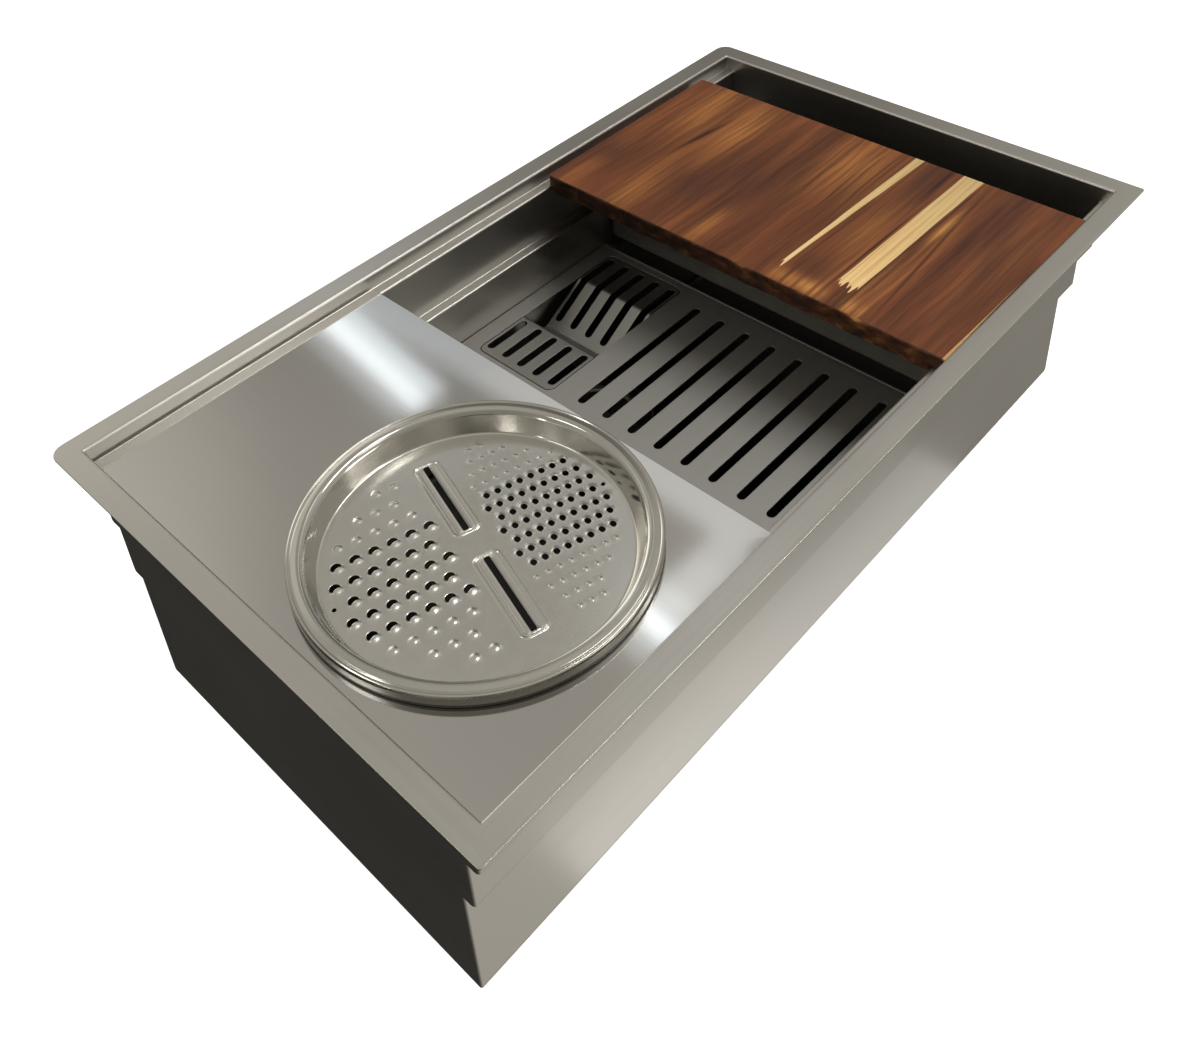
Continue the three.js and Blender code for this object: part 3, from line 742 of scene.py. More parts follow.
h_in = floor_fill(bowl, last_in, -238.5, True)
h_out = floor_fill(bowl, last_out, -240.0, False)
for k in range(96):
    q = (k + 1) % 96
    bowl.f.append([h_in[k], h_in[q], h_out[q], h_out[k]])
    bowl.m.append(0)
make(
    "bowl_shell", bowl.v, bowl.f, [bowl_x, bowl_y, painted_shade_steel], "sink_bowl",
    ("front_wall", "back_wall", "left_end_wall", "right_end_wall", "basin_floor"), bowl.m,
)

# ------------------------------------------------------------- the cover plate
PX0, PX1, PY0, PY1, PTOP = -398.0, -118.0, -219.0, 218.2, -13.7
TX, TY, TZ, TURN = -256.1, -63.2, -22.0, math.radians(-17)
OPENING_R = 119.5
cover = Soup()
plate_edge = [
    (p[0], p[1])
    for p in rect_loop((PX1 - PX0) / 2, (PY1 - PY0) / 2, 0, (2, 2, 2, 4), (PX0 + PX1) / 2, (PY0 + PY1) / 2, 4)
]
sheet(
    cover, refine(plate_edge, 20),
    [[(TX + OPENING_R * math.cos(2 * math.pi * k / 192), TY + OPENING_R * math.sin(2 * math.pi * k / 192)) for k in range(192)]],
    1.5, lambda x, y, h: (x, y, PTOP - 0.75 + h), 0.45,
    [(x, y) for x in range(-380, -130, 20) for y in range(-200, 205, 20) if math.hypot(x - TX, y - TY) > OPENING_R + 4],
)
for a, b in ((PX0 + 0.02, PX0 + 1.52), (PX1 - 1.52, PX1 - 0.02)):
    sub = []
    for inset, z in ((0.3, -25.7), (0.0, -25.4), (0.0, -14.45)):
        sub.append(rect_loop(0.75 - inset, 206 - inset, z, 0.3, (a + b) / 2, 0, 2))
    oo = skin(cover, sub)
    m = len(sub[0])
    cover.f.append([oo + k for k in range(m)][::-1])
    cover.f.append([oo + 2 * m + k for k in range(m)])
    cover.m += [0, 0]
make("cover_plate_sheet", cover.v, cover.f, [plate_mat], "cover_plate", ("cover_plate",), cover.m)

# ------------------------------------------------------------- the grater tray
SLITS = [(0.8, 54.3), (1.3, -47.1)]
FRAME_W, FRAME_L, SLIT_W, SLIT_L = 10.35, 38.9, 2.35, 35.75
tray = Soup()
COARSE_U, COARSE_V, COARSE_0 = 14.31, 16.59, (-27.5, 86.5)
COARSE_ROWS = [(-1, 2), (-2, 3), (-3, 5), (-3, 6), (-3, 6), (-3, 7), (-2, 6), (-1, 6), (0, 5), (2, 3), (4, 2)]
FINE_U, FINE_V, FINE_0 = 9.18, 12.13, (36.4, 88.1)
FINE_ROWS = [
    (0, 2), (0, 4), (0, 6), (0, 8), (1, 8), (1, 9), (2, 9), (2, 10), (3, 9), (3, 9),
    (4, 8), (4, 8), (5, 6), (6, 4), (7, 3),
]


def lattice(p0, u, v, rows, which):
    """Staggered rows of points. which says which rows are wanted."""
    return [
        (p0[0] + (first + i) * u - j * u / 2, p0[1] - j * v)
        for j, (first, count) in enumerate(rows)
        for i in range(count)
        if which(j)
    ]


def near(points, r):
    return [p for p in points if math.hypot(*p) < r]


# Only the middle rows are pierced. The rows at both ends of each field are shallow marks.
coarse = near(lattice(COARSE_0, COARSE_U, COARSE_V, COARSE_ROWS, lambda j: 3 <= j <= 7), 103)
domes = near(lattice(COARSE_0, COARSE_U, COARSE_V, COARSE_ROWS, lambda j: not 3 <= j <= 7), 104)
fine_holes = near(lattice(FINE_0, FINE_U, FINE_V, FINE_ROWS, lambda j: 4 <= j <= 10), 103.5)
prongs = near(lattice(FINE_0, FINE_U, FINE_V, FINE_ROWS, lambda j: not 4 <= j <= 10), 104)
pins = [(-106.0, 3.5), (105.0, 3.3)]
OPEN_DIR = math.radians(104)  # the way the coarse hoods face, in the tray's frame
FINE_DIR = math.radians(-70)
C_R, F_R, PIN_R = 4.05, 2.4, 1.6


def half_moon(cx, cy, r, facing, n=12):
    pts = []
    for k in range(n + 1):
        a = facing - math.radians(116) + math.radians(232) * k / n
        pts.append((cx + r * math.cos(a), cy + r * math.sin(a)))
    # the lip's edge bows towards the opening
    a1, a0 = pts[-1], pts[0]
    bow = r * 0.12
    for k in range(1, 8):
        w = k / 8
        p = (a1[0] + (a0[0] - a1[0]) * w, a1[1] + (a0[1] - a1[1]) * w)
        q = bow * math.sin(math.pi * w)
        pts.append((p[0] + q * math.cos(facing), p[1] + q * math.sin(facing)))
    return pts


CO, SO = math.cos(OPEN_DIR), math.sin(OPEN_DIR)


def frame_distance(x, y, cx, cy):
    """Distance outside a slit's frame outline, negative inside."""
    ax, ay = abs(x - cx), abs(y - cy)
    qx, qy = max(ax - (FRAME_W - 5), 0), max(ay - (FRAME_L - 5), 0)
    return math.hypot(qx, qy) + min(max(ax - (FRAME_W - 5), ay - (FRAME_L - 5)), 0) - 5


def smooth(t):
    t = min(1.0, max(0.0, t))
    return t * t * (3 - 2 * t)


def tray_height(x, y):
    """How far the tray's floor is pressed up or down at a point."""
    h = 0.0
    for cx, cy in coarse:
        dx, dy = x - cx, y - cy
        if dx * dx + dy * dy > 60:
            continue
        a = dx * CO + dy * SO
        c = -dx * SO + dy * CO
        side = max(0.0, 1 - (c / (C_R + 0.5)) ** 2)
        chord = -1.78 + C_R * 0.12 * side
        if a <= chord + 0.25:
            t = 1 + min(0.0, a + 1.78) / (C_R * 1.35)
            h = max(h, 1.35 * side ** 0.8 * smooth(t) ** 0.8)
        else:
            t = max(0.0, 1 - max(0.0, a - C_R) / 1.4) * side
            h = min(h, -0.1 * t) if h <= 0 else h
    for cx, cy in domes:
        q = math.hypot(x - cx + 1.2 * CO, y - cy + 1.2 * SO)
        if q < 4.6:
            h = max(h, 0.9 * smooth((4.4 - q) / 3.6))
    for cx, cy in fine_holes:
        dx, dy = x - cx, y - cy
        q = math.hypot(dx, dy)
        if q > 4.2:
            continue
        ang = math.atan2(dy, dx) - (FINE_DIR + math.pi)
        lip = (0.5 + 0.5 * math.cos(ang)) ** 1.2
        h = max(h, (0.05 + 0.95 * lip) * smooth(1 - max(0.0, q - F_R) / 2.0))
    for cx, cy in prongs:
        dx, dy = x - cx, y - cy
        q = math.hypot(dx, dy)
        if q < 2.4:
            a = (dx * math.cos(FINE_DIR) + dy * math.sin(FINE_DIR)) / 2.2
            h = max(h, 0.55 * smooth((2.3 - q) / 1.7) * (0.75 - 0.45 * a))
    for cx, cy in pins:
        q = math.hypot(x - cx, y - cy)
        if q < 3:
            h = max(h, 0.15 * smooth((3 - q) / 1.4))
    for cx, cy in SLITS:
        # fine beads round a slightly sunk panel, and a low lip along the slit
        d = frame_distance(x, y, cx, cy)
        if d < 2.4:
            bead = 0.55 * math.exp(-((d + 0.3) / 0.65) ** 2) + 0.28 * math.exp(-((d + 2.9) / 0.6) ** 2)
            sunk = -0.4 * smooth((-d - 0.8) / 1.6)
            lip = 0.0
            if abs(y - cy) < SLIT_L + 1 and d < -1:
                lip = 0.45 * math.exp(-((max(0.0, abs(x - cx) - SLIT_W)) / 0.9) ** 2)
            h = h + bead + sunk + lip
    return h


tray_holes = []
pts_extra = []
for cx, cy in coarse:
    tray_holes.append(half_moon(cx, cy, C_R, OPEN_DIR))
    for q, n in ((0.9, 8), (1.8, 12), (2.7, 16), (3.6, 20), (4.6, 22), (5.5, 24), (6.3, 24)):
        for k in range(n):
            a = 2 * math.pi * k / n
            x, y = cx + q * math.cos(a), cy + q * math.sin(a)
            if (x - cx) * CO + (y - cy) * SO < -2.15 or q > C_R + 0.8:
                pts_extra.append((x, y))
for cx, cy in domes:
    for q, n in ((0.01, 1), (0.9, 8), (1.8, 14), (2.5, 18), (3.2, 22), (3.9, 22), (4.6, 22)):
        for k in range(n):
            a = 2 * math.pi * k / n
            pts_extra.append((cx + q * math.cos(a), cy + q * math.sin(a)))
for cx, cy in fine_holes:
    tray_holes.append([(cx + F_R * math.cos(2 * math.pi * k / 16), cy + F_R * math.sin(2 * math.pi * k / 16)) for k in range(16)])
    for q in (2.95, 3.35, 3.8, 4.25):
        for k in range(16):
            a = 2 * math.pi * (k + 0.5) / 16
            pts_extra.append((cx + q * math.cos(a), cy + q * math.sin(a)))
for cx, cy in prongs:
    for q, n in ((0.01, 1), (0.6, 8), (1.2, 12), (1.8, 14), (2.4, 16)):
        for k in range(n):
            a = 2 * math.pi * k / n
            pts_extra.append((cx + q * math.cos(a), cy + q * math.sin(a)))
for cx, cy in pins:
    tray_holes.append([(cx + PIN_R * math.cos(2 * math.pi * k / 12), cy + PIN_R * math.sin(2 * math.pi * k / 12)) for k in range(12)])
    for q in (2.1, 2.6, 3.2):
        for k in range(12):
            a = 2 * math.pi * (k + 0.5) / 12
            pts_extra.append((cx + q * math.cos(a), cy + q * math.sin(a)))
for cx, cy in SLITS:
    tray_holes.append(refine(flat_rect(cx - SLIT_W, cx + SLIT_W, cy - SLIT_L, cy + SLIT_L, 0.8, 2), 1.6))
    ring_line = refine(flat_rect(cx - FRAME_W, cx + FRAME_W, cy - FRAME_L, cy + FRAME_L, 5, 6), 1.1)
    for d in (-2.1, -1.5, -0.9, -0.45, 0.0, 0.3, 0.7, 1.1, 1.6, 2.1, 2.5, 2.9, 3.3, 3.8):
        pts_extra += offset_loop(ring_line, d)
    slit_line = refine(flat_rect(cx - SLIT_W, cx + SLIT_W, cy - SLIT_L, cy + SLIT_L, 0.8, 2), 1.6)
    for d in (-0.5, -1.1, -1.8, -2.6):
        pts_extra += [p for p in offset_loop(slit_line, d) if frame_distance(*p, cx, cy) < -3.9]
FLOOR_R = 110.1
outline = [(FLOOR_R * math.cos(2 * math.pi * k / 256), FLOOR_R * math.sin(2 * math.pi * k / 256)) for k in range(256)]
g = -105
while g <= 105:
    h = -105
    while h <= 105:
        if math.hypot(g, h) < 106 and all((g - cx) ** 2 + (h - cy) ** 2 > 46 for cx, cy in coarse) and all(
            (g - cx) ** 2 + (h - cy) ** 2 > 24 for cx, cy in fine_holes + domes
        ) and all((g - cx) ** 2 + (h - cy) ** 2 > 10 for cx, cy in prongs + pins) and all(
            frame_distance(g, h, cx, cy) > 3 for cx, cy in SLITS
        ):
            pts_extra.append((g, h))
        h += 4
    g += 4
pts_extra = [p for p in pts_extra if math.hypot(*p) < FLOOR_R - 0.6]
# drop points that fall in or beside another hole
keep = []
for p in pts_extra:
    ok = True
    for cx, cy in coarse:
        dx, dy = p[0] - cx, p[1] - cy
        if dx * CO + dy * SO > -2.1 and math.hypot(dx, dy) < C_R + 0.5:
            ok = False
            break
    if ok:
        ok = all(math.hypot(p[0] - cx, p[1] - cy) > F_R + 0.3 for cx, cy in fine_holes)
    if ok:
        ok = all(math.hypot(p[0] - cx, p[1] - cy) > PIN_R + 0.3 for cx, cy in pins)
    if ok:
        ok = all(abs(p[0] - cx) > SLIT_W + 0.3 or abs(p[1] - cy) > SLIT_L + 0.3 for cx, cy in SLITS)
    if ok:
        keep.append(p)
ct, st = math.cos(TURN), math.sin(TURN)


def in_tray(x, y, z):
    return (TX + x * ct - y * st, TY + x * st + y * ct, TZ + z)


loops = [outline] + [h if loop_area(h) < 0 else h[::-1] for h in tray_holes]
e = 0.16
inset = [outline] + [offset_loop(lp, e) for lp in loops[1:]]
v, tris, ids = plane_mesh(inset, keep)
heights = [tray_height(*p) for p in v]
top0 = tray.add([in_tray(p[0], p[1], 1.2 + h) for p, h in zip(v, heights)], tris)
# the underside takes the dark steel: painted shade
low0 = tray.add([in_tray(p[0], p[1], h) for p, h in zip(v, heights)], [t[::-1] for t in tris], 1)
for lp, idx in list(zip(loops, ids))[1:]:
    n = len(lp)
    rows = [[top0 + i for i in idx]]
    hs = [tray_height(*p) for p in offset_loop(lp, e)]
    for d, z in ((0, 1.2 - e), (0, e)):
        o = len(tray.v)
        tray.v += [in_tray(p[0], p[1], z + h) for p, h in zip(lp, hs)]
        rows.append(list(range(o, o + n)))
    rows.append([low0 + i for i in idx])
    for r0, r1 in zip(rows, rows[1:]):
        for k in range(n):
            q = (k + 1) % n
            tray.f.append([r0[q], r0[k], r1[k], r1[q]])
            # the hole walls take the dark steel: painted shade
            tray.m.append(1)
rim_profile = fillet(
    [
        (FLOOR_R, 0.0), (113.8, 0.0), (119.5, 15.5), (121.1, 17.7), (123.6, 18.3), (127.5, 17.6),
        (129.2, 16.9), (130.6, 15.5), (130.9, 8.6), (132.1, 8.6), (132.1, 11.2), (132.1, 16.5), (131.4, 18.3),
        (130.1, 18.85), (129.0, 18.05), (127.7, 18.85), (123.6, 19.5), (120.4, 18.7), (118.4, 15.7),
        (112.9, 1.2), (FLOOR_R, 1.2),
    ],
    [0, 3.2, 3, 2, 4, 3, 3, 1.0, 0.5, 0.6, 0, 2.0, 0.9, 0.7, 0.35, 0.8, 5, 4, 4, 2.4, 0], steps=5,
)
seg = 256
rows = []
for r, z in rim_profile:
    o = len(tray.v)
    tray.v += [in_tray(r * math.cos(2 * math.pi * k / seg), r * math.sin(2 * math.pi * k / seg), z) for k in range(seg)]
    rows.append(list(range(o, o + seg)))
for i, (r0, r1) in enumerate(zip(rows, rows[1:])):
    (ra, za), (rb, zb) = rim_profile[i], rim_profile[i + 1]
    # the floor's underside ring and the curl under the rim take the dark steel: painted shade
    painted_shade_face = 1 if (i < len(rows) // 3 and za < 1.0) or (min(ra, rb) > 130.3 and max(za, zb) < 11.3) else 0
    for k in range(seg):
        q = (k + 1) % seg
        tray.f.append([r0[k], r0[q], r1[q], r1[k]])
        tray.m.append(painted_shade_face or (0 if max(ra, rb) < 112.5 else 3 if min(ra, rb) > 131.9 else 2))
grater = make("grater_tray_pressed", tray.v, tray.f, [tray_mat, painted_shade_tray_steel, tray_rim_mat, tray_skirt_shade_mat], "grater_tray", ("grater_tray",), tray.m, wn=False)
import bmesh

bm = bmesh.new()
bm.from_mesh(grater.data)
bmesh.ops.remove_doubles(bm, verts=bm.verts, dist=2e-6)
bm.to_mesh(grater.data)
bm.free()

# ------------------------------------------------------------------- the board
BX0, BX1, BY0, BY1 = 101.0, 346.0, -220.5, 213.5
bcx, bcy, bhx, bhy = (BX0 + BX1) / 2, (BY0 + BY1) / 2, (BX1 - BX0) / 2, (BY1 - BY0) / 2
board = Soup()
side = fillet(
    [(20, -3), (0, -3), (0, -15.2), (0, -21.5), (20, -21.5)],
    [0, 2.0, 0, 2.2, 0], steps=5,
)
radii = (2.5, 2.0, 2.5, 6.0)


def board_loop(inset, z):
    low = z < -15.3  # below the ledges the board is narrower, between the walls
    hy = (208.0 if low else bhy) - inset
    return rect_loop(bhx - inset, hy, z, [max(q - inset, 0.6) for q in radii], bcx, 0.0 if low else bcy, steps=5)


bl = []
for d, z in side:
    bl.append(board_loop(d, z))
    if abs(z + 15.2) < 1e-6:
        bl.append(board_loop(d, z - 0.12))
dense = []
for lp in bl:
    q = []
    for a, b in zip(lp, lp[1:] + lp[:1]):
        k = max(1, round(math.hypot(b[0] - a[0], b[1] - a[1]) / 3.0)) if math.hypot(bl[0][6][0] - bl[0][5][0], 0) else 1
        q.append((a, b))
    dense.append(q)
counts = [
    max(1, round(max(math.dist(dense[i][k][0], dense[i][k][1]) for i in range(len(dense))) / 4.0)) for k in range(len(dense[0]))
]
bl = []
for q in dense:
    lp = []
    for (a, b), k in zip(q, counts):
        for i in range(k):
            w = i / k
            lp.append(tuple(a[j] + (b[j] - a[j]) * w for j in range(3)))
    bl.append(lp)


def ragged(p):
    """The near edge is a little uneven, as a hand-sanded edge is."""
    x, y, z = p
    near = max(0.0, 1 - (x - BX0) / 5.0)
    w = 0.50 * math.sin(y * 0.11 + 1.3) + 0.34 * math.sin(y * 0.31 + z * 0.25) + 0.24 * math.sin(y * 0.77 + z * 0.6 + 2.0)
    drop = 0.30 * math.sin(y * 0.17 + 0.7) + 0.22 * math.sin(y * 0.53)
    return (x + near * (0.8 + w), y, z - near * max(0.0, drop) * (1 if z > -8 else 0))


bl = [[ragged(p) for p in lp] for lp in bl]
o = skin(board, bl[::-1])
n = len(bl[0])
board.f.append([o + (len(bl) - 1) * n + k for k in range(n)])
board.f.append([o + k for k in range(n)][::-1])
board.m += [0, 0]
make("cutting_board_wood", board.v, board.f, [wood_mat], "cutting_board", ("cutting_board",), board.m)

# ---------------------------------------------------------------- the platform
FX0, FX1, FY, FTOP, FT = -56.0, 163.5, 198.4, -115.0, 1.5
IX0, IX1, IY0, IY1 = -39.5, 152.5, 85.0, 181.0
platform = Soup()


def flat_at(mid):
    return lambda x, y, h: (x, y, mid + h)


slots = [refine(stadium(-31.7, 139.5, 54.9 - i * 29.6, 8, 10), 12) for i in range(8)]
opening = refine(flat_rect(IX0, IX1, IY0, IY1, 8, 8), 8)
LX0, LX1 = FX0 + 3.0, FX1 - 3.0
grid = [(x, y) for x in range(-40, 160, 12) for y in range(-190, 195, 14)]


def clear_of(p, holes, gap):
    for h in holes:
        xs, ys = [q[0] for q in h], [q[1] for q in h]
        if min(xs) - gap < p[0] < max(xs) + gap and min(ys) - gap < p[1] < max(ys) + gap:
            return False
    return True


grid = [p for p in grid if clear_of(p, slots + [opening], 2)]
sheet(
    platform, refine(flat_rect(LX0, LX1, -FY, FY, 0.4, 2), 14), slots + [opening], FT,
    flat_at(FTOP - FT / 2), 0.35, grid,
)
for x_in, x_out in ((LX0, FX0), (LX1, FX1)):
    s = 1 if x_out > x_in else -1
    prof = fillet(
        [(x_in - s * 0.2, FTOP), (x_out, FTOP), (x_out, FTOP - 12), (x_out - s * 1.5, FTOP - 12), (x_out - s * 1.5, FTOP - 1.5), (x_in - s * 0.2, FTOP - 1.5)],
        [0, 2.4, 0.5, 0.5, 0.9, 0], steps=6,
    )
    if s > 0:
        prof = prof[::-1]
    ya, yb = -FY + 0.0, FY - 0.0
    cut = 187.0
    rows = []
    for yy in (ya, ya + 0.01, -185.0, 185.0, yb - 0.01, yb):
        narrow = abs(yy) > 185.5
        row = []
        for x, z in prof:
            row.append((x, yy, z))
        rows.append(row)
    o = len(platform.v)
    n = len(prof)
    ends = (-185.0, 185.0)
    for yy in ends:
        platform.v += [(x, yy, z) for x, z in prof]
    for k in range(n):
        q = (k + 1) % n
        platform.f.append([o + q, o + k, o + n + k, o + n + q])
        platform.m.append(0)
    platform.f.append([o + k for k in range(n)])
    platform.f.append([o + n + k for k in range(n)][::-1])
    platform.m += [0, 0]
    # the flat margin beyond the lip
    for y0, y1 in ((-FY, -185.0), (185.0, FY)):
        a, b = sorted((x_in - s * 0.1, x_out))
        pts = rect_loop((b - a) / 2, (y1 - y0) / 2, 0, 0.5, (a + b) / 2, (y0 + y1) / 2, 2)
        sub = [[(p[0], p[1], z) for p in pts] for z in (FTOP, FTOP - 1.5)]
        oo = skin(platform, sub[::-1])
        m = len(pts)
        platform.f.append([oo + m + k for k in range(m)])
        platform.f.append([oo + k for k in range(m)][::-1])
        platform.m += [0, 0]
# joggled tabs that carry the grate
for a, b in ((IX0 - 6, IX0 + 6), (IX1 - 4, IX1 + 6)):
    pts = rect_loop((b - a) / 2, 36, 0, 2, (a + b) / 2, 133, 3)
    sub = [[(p[0], p[1], z) for p in pts] for z in (-117.1, -118.6)]
    oo = skin(platform, sub[::-1])
    m = len(pts)
    platform.f.append([oo + m + k for k in range(m)])
    platform.f.append([oo + k for k in range(m)][::-1])
    platform.m += [0, 0]
make("drain_platform_sheet", platform.v, platform.f, [platform_mat], "drain_platform", ("drain_platform",), platform.m)

# ------------------------------------------------------------ the strainer grate
GX0, GX1, GY0, GY1 = IX0 + 0.9, IX1 - 0.9, IY0 + 0.9, IY1 - 0.9
GT = 1.2
mid = [
    (GX0, -115.6), (23.9, -115.6), (23.9, -145.6), (53.0, -145.6), (103.0, -115.6), (GX1, -115.6),
]
curve = fillet(mid, [0, 2.6, 3.0, 6.0, 8.0, 0], steps=8)
cum = [0.0]
for a, b in zip(curve, curve[1:]):
    cum.append(cum[-1] + math.hypot(b[0] - a[0], b[1] - a[1]))


def s_of_x(x, after=0.0):
    for i in range(len(curve) - 1):
        if cum[i] >= after and curve[i + 1][0] > x >= curve[i][0]:
            w = (x - curve[i][0]) / (curve[i + 1][0] - curve[i][0])
            return cum[i] + w * (cum[i + 1] - cum[i])
    return cum[-1]


tang = []
for i in range(len(curve)):
    a, b = curve[max(0, i - 1)], curve[min(len(curve) - 1, i + 1)]
    tang.append(unit((b[0] - a[0], b[1] - a[1])))


def bent(s, y, h):
    s = min(max(s, 0.0), cum[-1])
    i = min(max(int(np.searchsorted(cum, s)) - 1, 0), len(curve) - 2)
    w = (s - cum[i]) / max(1e-9, cum[i + 1] - cum[i])
    x = curve[i][0] + w * (curve[i + 1][0] - curve[i][0])
    z = curve[i][1] + w * (curve[i + 1][1] - curve[i][1])
    tx = tang[i][0] + w * (tang[i + 1][0] - tang[i][0])
    tz = tang[i][1] + w * (tang[i + 1][1] - tang[i][1])
    q = math.hypot(tx, tz)
    return (x - tz / q * h, y, z + tx / q * h)


SL = cum[-1]
s_drop = s_of_x(20.0)
s_slope = s_of_x(60.5, cum[-1] * 0.5)
bars = []
fine_s = lambda p: 1.2
for i in range(-2, 3):
    y = 133 + i * 20
    bars.append(refine(stadium(7, s_of_x(18.8), y, 8, 10), 2.5))
    bars.append(refine(stadium(s_slope, SL - 5.0, y, 8, 10), 1.4))
rim_pts = refine(flat_rect(0, SL, GY0, GY1, 7, 8), 1.6)
lines = []
for i, s in enumerate(cum):
    if 0.5 < s < SL - 0.5:
        y = GY0 + 1.4
        while y < GY1 - 1.0:
            lines.append((s, y))
            y += 2.3
s = 6.0
while s < SL - 3:
    near_bend = min(abs(s - c) for c in cum)
    if near_bend > 2.0:
        y = GY0 + 2.0
        while y < GY1 - 1.0:
            lines.append((s, y))
            y += 4.0
    s += 4.0
lines = [p for p in lines if all(not (min(q[0] for q in b) - 0.5 < p[0] < max(q[0] for q in b) + 0.5 and min(q[1] for q in b) - 0.5 < p[1] < max(q[1] for q in b) + 0.5) for b in bars)]
corner = lambda p: not ((p[0] < 7.5 or p[0] > SL - 7.5) and (p[1] < GY0 + 7.5 or p[1] > GY1 - 7.5))
lines = [p for p in lines if corner(p)]
grate = Soup()
sheet(grate, rim_pts, bars, GT, bent, 0.32, lines)
make("strainer_grate_bent", grate.v, grate.f, [grate_mat], "strainer_grate", ("strainer_grate",), grate.m)

# ------------------------------------------------------------- the colander tray
CX0, CX1 = 168.0, 345.0
ccx, chx = (CX0 + CX1) / 2, (CX1 - CX0) / 2
col = Soup()
cpath = [
    (208.5, -65.3), (208.5, -64.8), (197, -64.8), (197 - 1.2, -66.0), (195.8, -106.3), (180, -106.3),
]
inner_c = fillet([(208.5, -65.4), (208.5, -64.8), (195.8, -64.8), (195.8, -106.3), (170, -106.3)], [0, 0.3, 1.8, 6, 0])[:-1]
outer_c = fillet([(208.5, -65.4), (208.5, -66.0), (197.0, -66.0), (197.0, -107.5), (170, -107.5)], [0, 0.3, 0.6, 7.2, 0])[:-1]


def col_loops(path, wall_y, wall_x, floor_in):
    loops = []
    for hy, z in path:
        if hy >= wall_y:
            hx = wall_x + min(1.0, 0.0)
            hx = wall_x
        else:
            hx = wall_x - (wall_y - hy)
        r = 2.0 if hy > wall_y + 2 else 9.0
        loops.append(rect_loop(hx, hy, z, r, ccx, 0, steps=6))
    return loops


ci = col_loops(inner_c, 195.8, chx - 1.2, 0)
co_ = col_loops(outer_c, 197.0, chx, 0)
N2 = len(ci[0])
a0 = skin(col, ci)
b0 = skin(col, co_, flip=True)
for k in range(N2):
    q = (k + 1) % N2
    col.f.append([a0 + q, a0 + k, b0 + k, b0 + q])
    col.m.append(0)
cslots = [refine(stadium(CX0 + 20, CX1 - 20, i * 30, 7, 8), 12) for i in range(-5, 6)]
for loop_start, zz, up in ((a0 + (len(ci) - 1) * N2, -106.3, True), (b0 + (len(co_) - 1) * N2, -107.5, False)):
    ids_ = [loop_start + k for k in range(N2)]
    rim = [col.v[i][:2] for i in ids_]
    v, tris, ids = plane_mesh([list(rim)] + [c[::-1] for c in cslots])
    o = len(col.v)
    col.v += [(p[0], p[1], zz) for p in v]
    back = dict(zip([o + i for i in ids[0]], ids_))
    for t in tris:
        f = [back.get(o + i, o + i) for i in t]
        col.f.append(f if up else f[::-1])
        col.m.append(0)
    if up:
        tops = [[o + i for i in q] for q in ids[1:]]
    else:
        for tq, bq in zip(tops, [[o + i for i in q] for q in ids[1:]]):
            m = len(tq)
            for k in range(m):
                q = (k + 1) % m
                col.f.append([tq[q], tq[k], bq[k], bq[q]])
                col.m.append(0)
make("colander_tray_pressed", col.v, col.f, [colander_shaded_steel], "colander_tray", ("colander_tray",), col.m)

# ------------------------------------------------------------------ the drain set
DZ = -238.5


def turned(name, profile, mat, body, hides, radii=0.4, seg=128, extra=None):
    sp = Soup()
    closed = profile[0][0] > 1e-6
    if loop_area([tuple(p) for p in profile]) < 0:
        profile = profile[::-1]
        if isinstance(radii, (list, tuple)):
            radii = radii[::-1]
    pts = fillet([tuple(p) for p in profile], radii, closed=closed, steps=3)
    lathe(sp, pts, seg, DX, DY, DZ, closed)
    if extra:
        extra(sp)
    return make(name, sp.v, sp.f, [mat], body, hides, sp.m)


def ridges(r_low, r_high, z0, z1, pitch):
    """Thread crests as rings, from z0 down to z1."""
    out = []
    z = z0
    while z - pitch > z1:
        out += [(r_low, z), (r_high, z - pitch * 0.35), (r_high, z - pitch * 0.55), (r_low, z - pitch * 0.9)]
        z -= pitch
    return out


body_profile = (
    [(41.5, 2.0), (42.5, 2.3), (55, 2.3), (57, 1.3), (57, 0.3), (44.3, 0.3)]
    + ridges(43.6, 44.3, -2, -29, 2.4)
    + [(44.3, -30), (40, -44), (30, -49), (23.0, -50)]
    + ridges(22.9, 23.6, -51, -67.5, 2.0)
    + [(23.0, -68), (20.6, -68), (20.6, -47), (29, -46), (37.6, -41.5), (41.5, -29)]
)
turned("drain_body_turned", body_profile, drain_mat, "sink_bowl", ("drain_body",), 0.25)
turned("drain_gasket_ring", [(44.7, -4.8), (57, -4.8), (57, -1.8), (44.7, -1.8)], rubber_mat, "sink_bowl", ("drain_gasket",), 0.8)
turned("friction_washer_ring", [(44.7, -6.1), (57, -6.1), (57, -5.1), (44.7, -5.1)], nylon_mat, "sink_bowl", ("friction_washer",), 0.2)


def lugs(sp):
    for i in range(6):
        a = i * math.pi / 3
        c, s = math.cos(a), math.sin(a)
        pts = rect_loop(4.5, 4.5, 0, 1.0, 57, 0, 3)
        sub = []
        for inset, z in ((0.6, -6.4), (0.0, -7.0), (0.0, -15.8), (0.6, -16.4)):
            lp = rect_loop(4.5 - inset, 4.5 - inset, 0, 1.0, 57, 0, 3)
            sub.append([(DX + p[0] * c - p[1] * s, DY + p[0] * s + p[1] * c, DZ + z) for p in lp])
        oo = skin(sp, sub[::-1])
        m = len(pts)
        sp.f.append([oo + (len(sub) - 1) * m + k for k in range(m)])
        sp.f.append([oo + k for k in range(m)][::-1])
        sp.m += [0, 0]


turned("lock_nut_turned", [(44.7, -16.4), (56, -16.4), (56, -6.4), (44.7, -6.4)], drain_mat, "sink_bowl", ("lock_nut",), 0.7, extra=lugs)

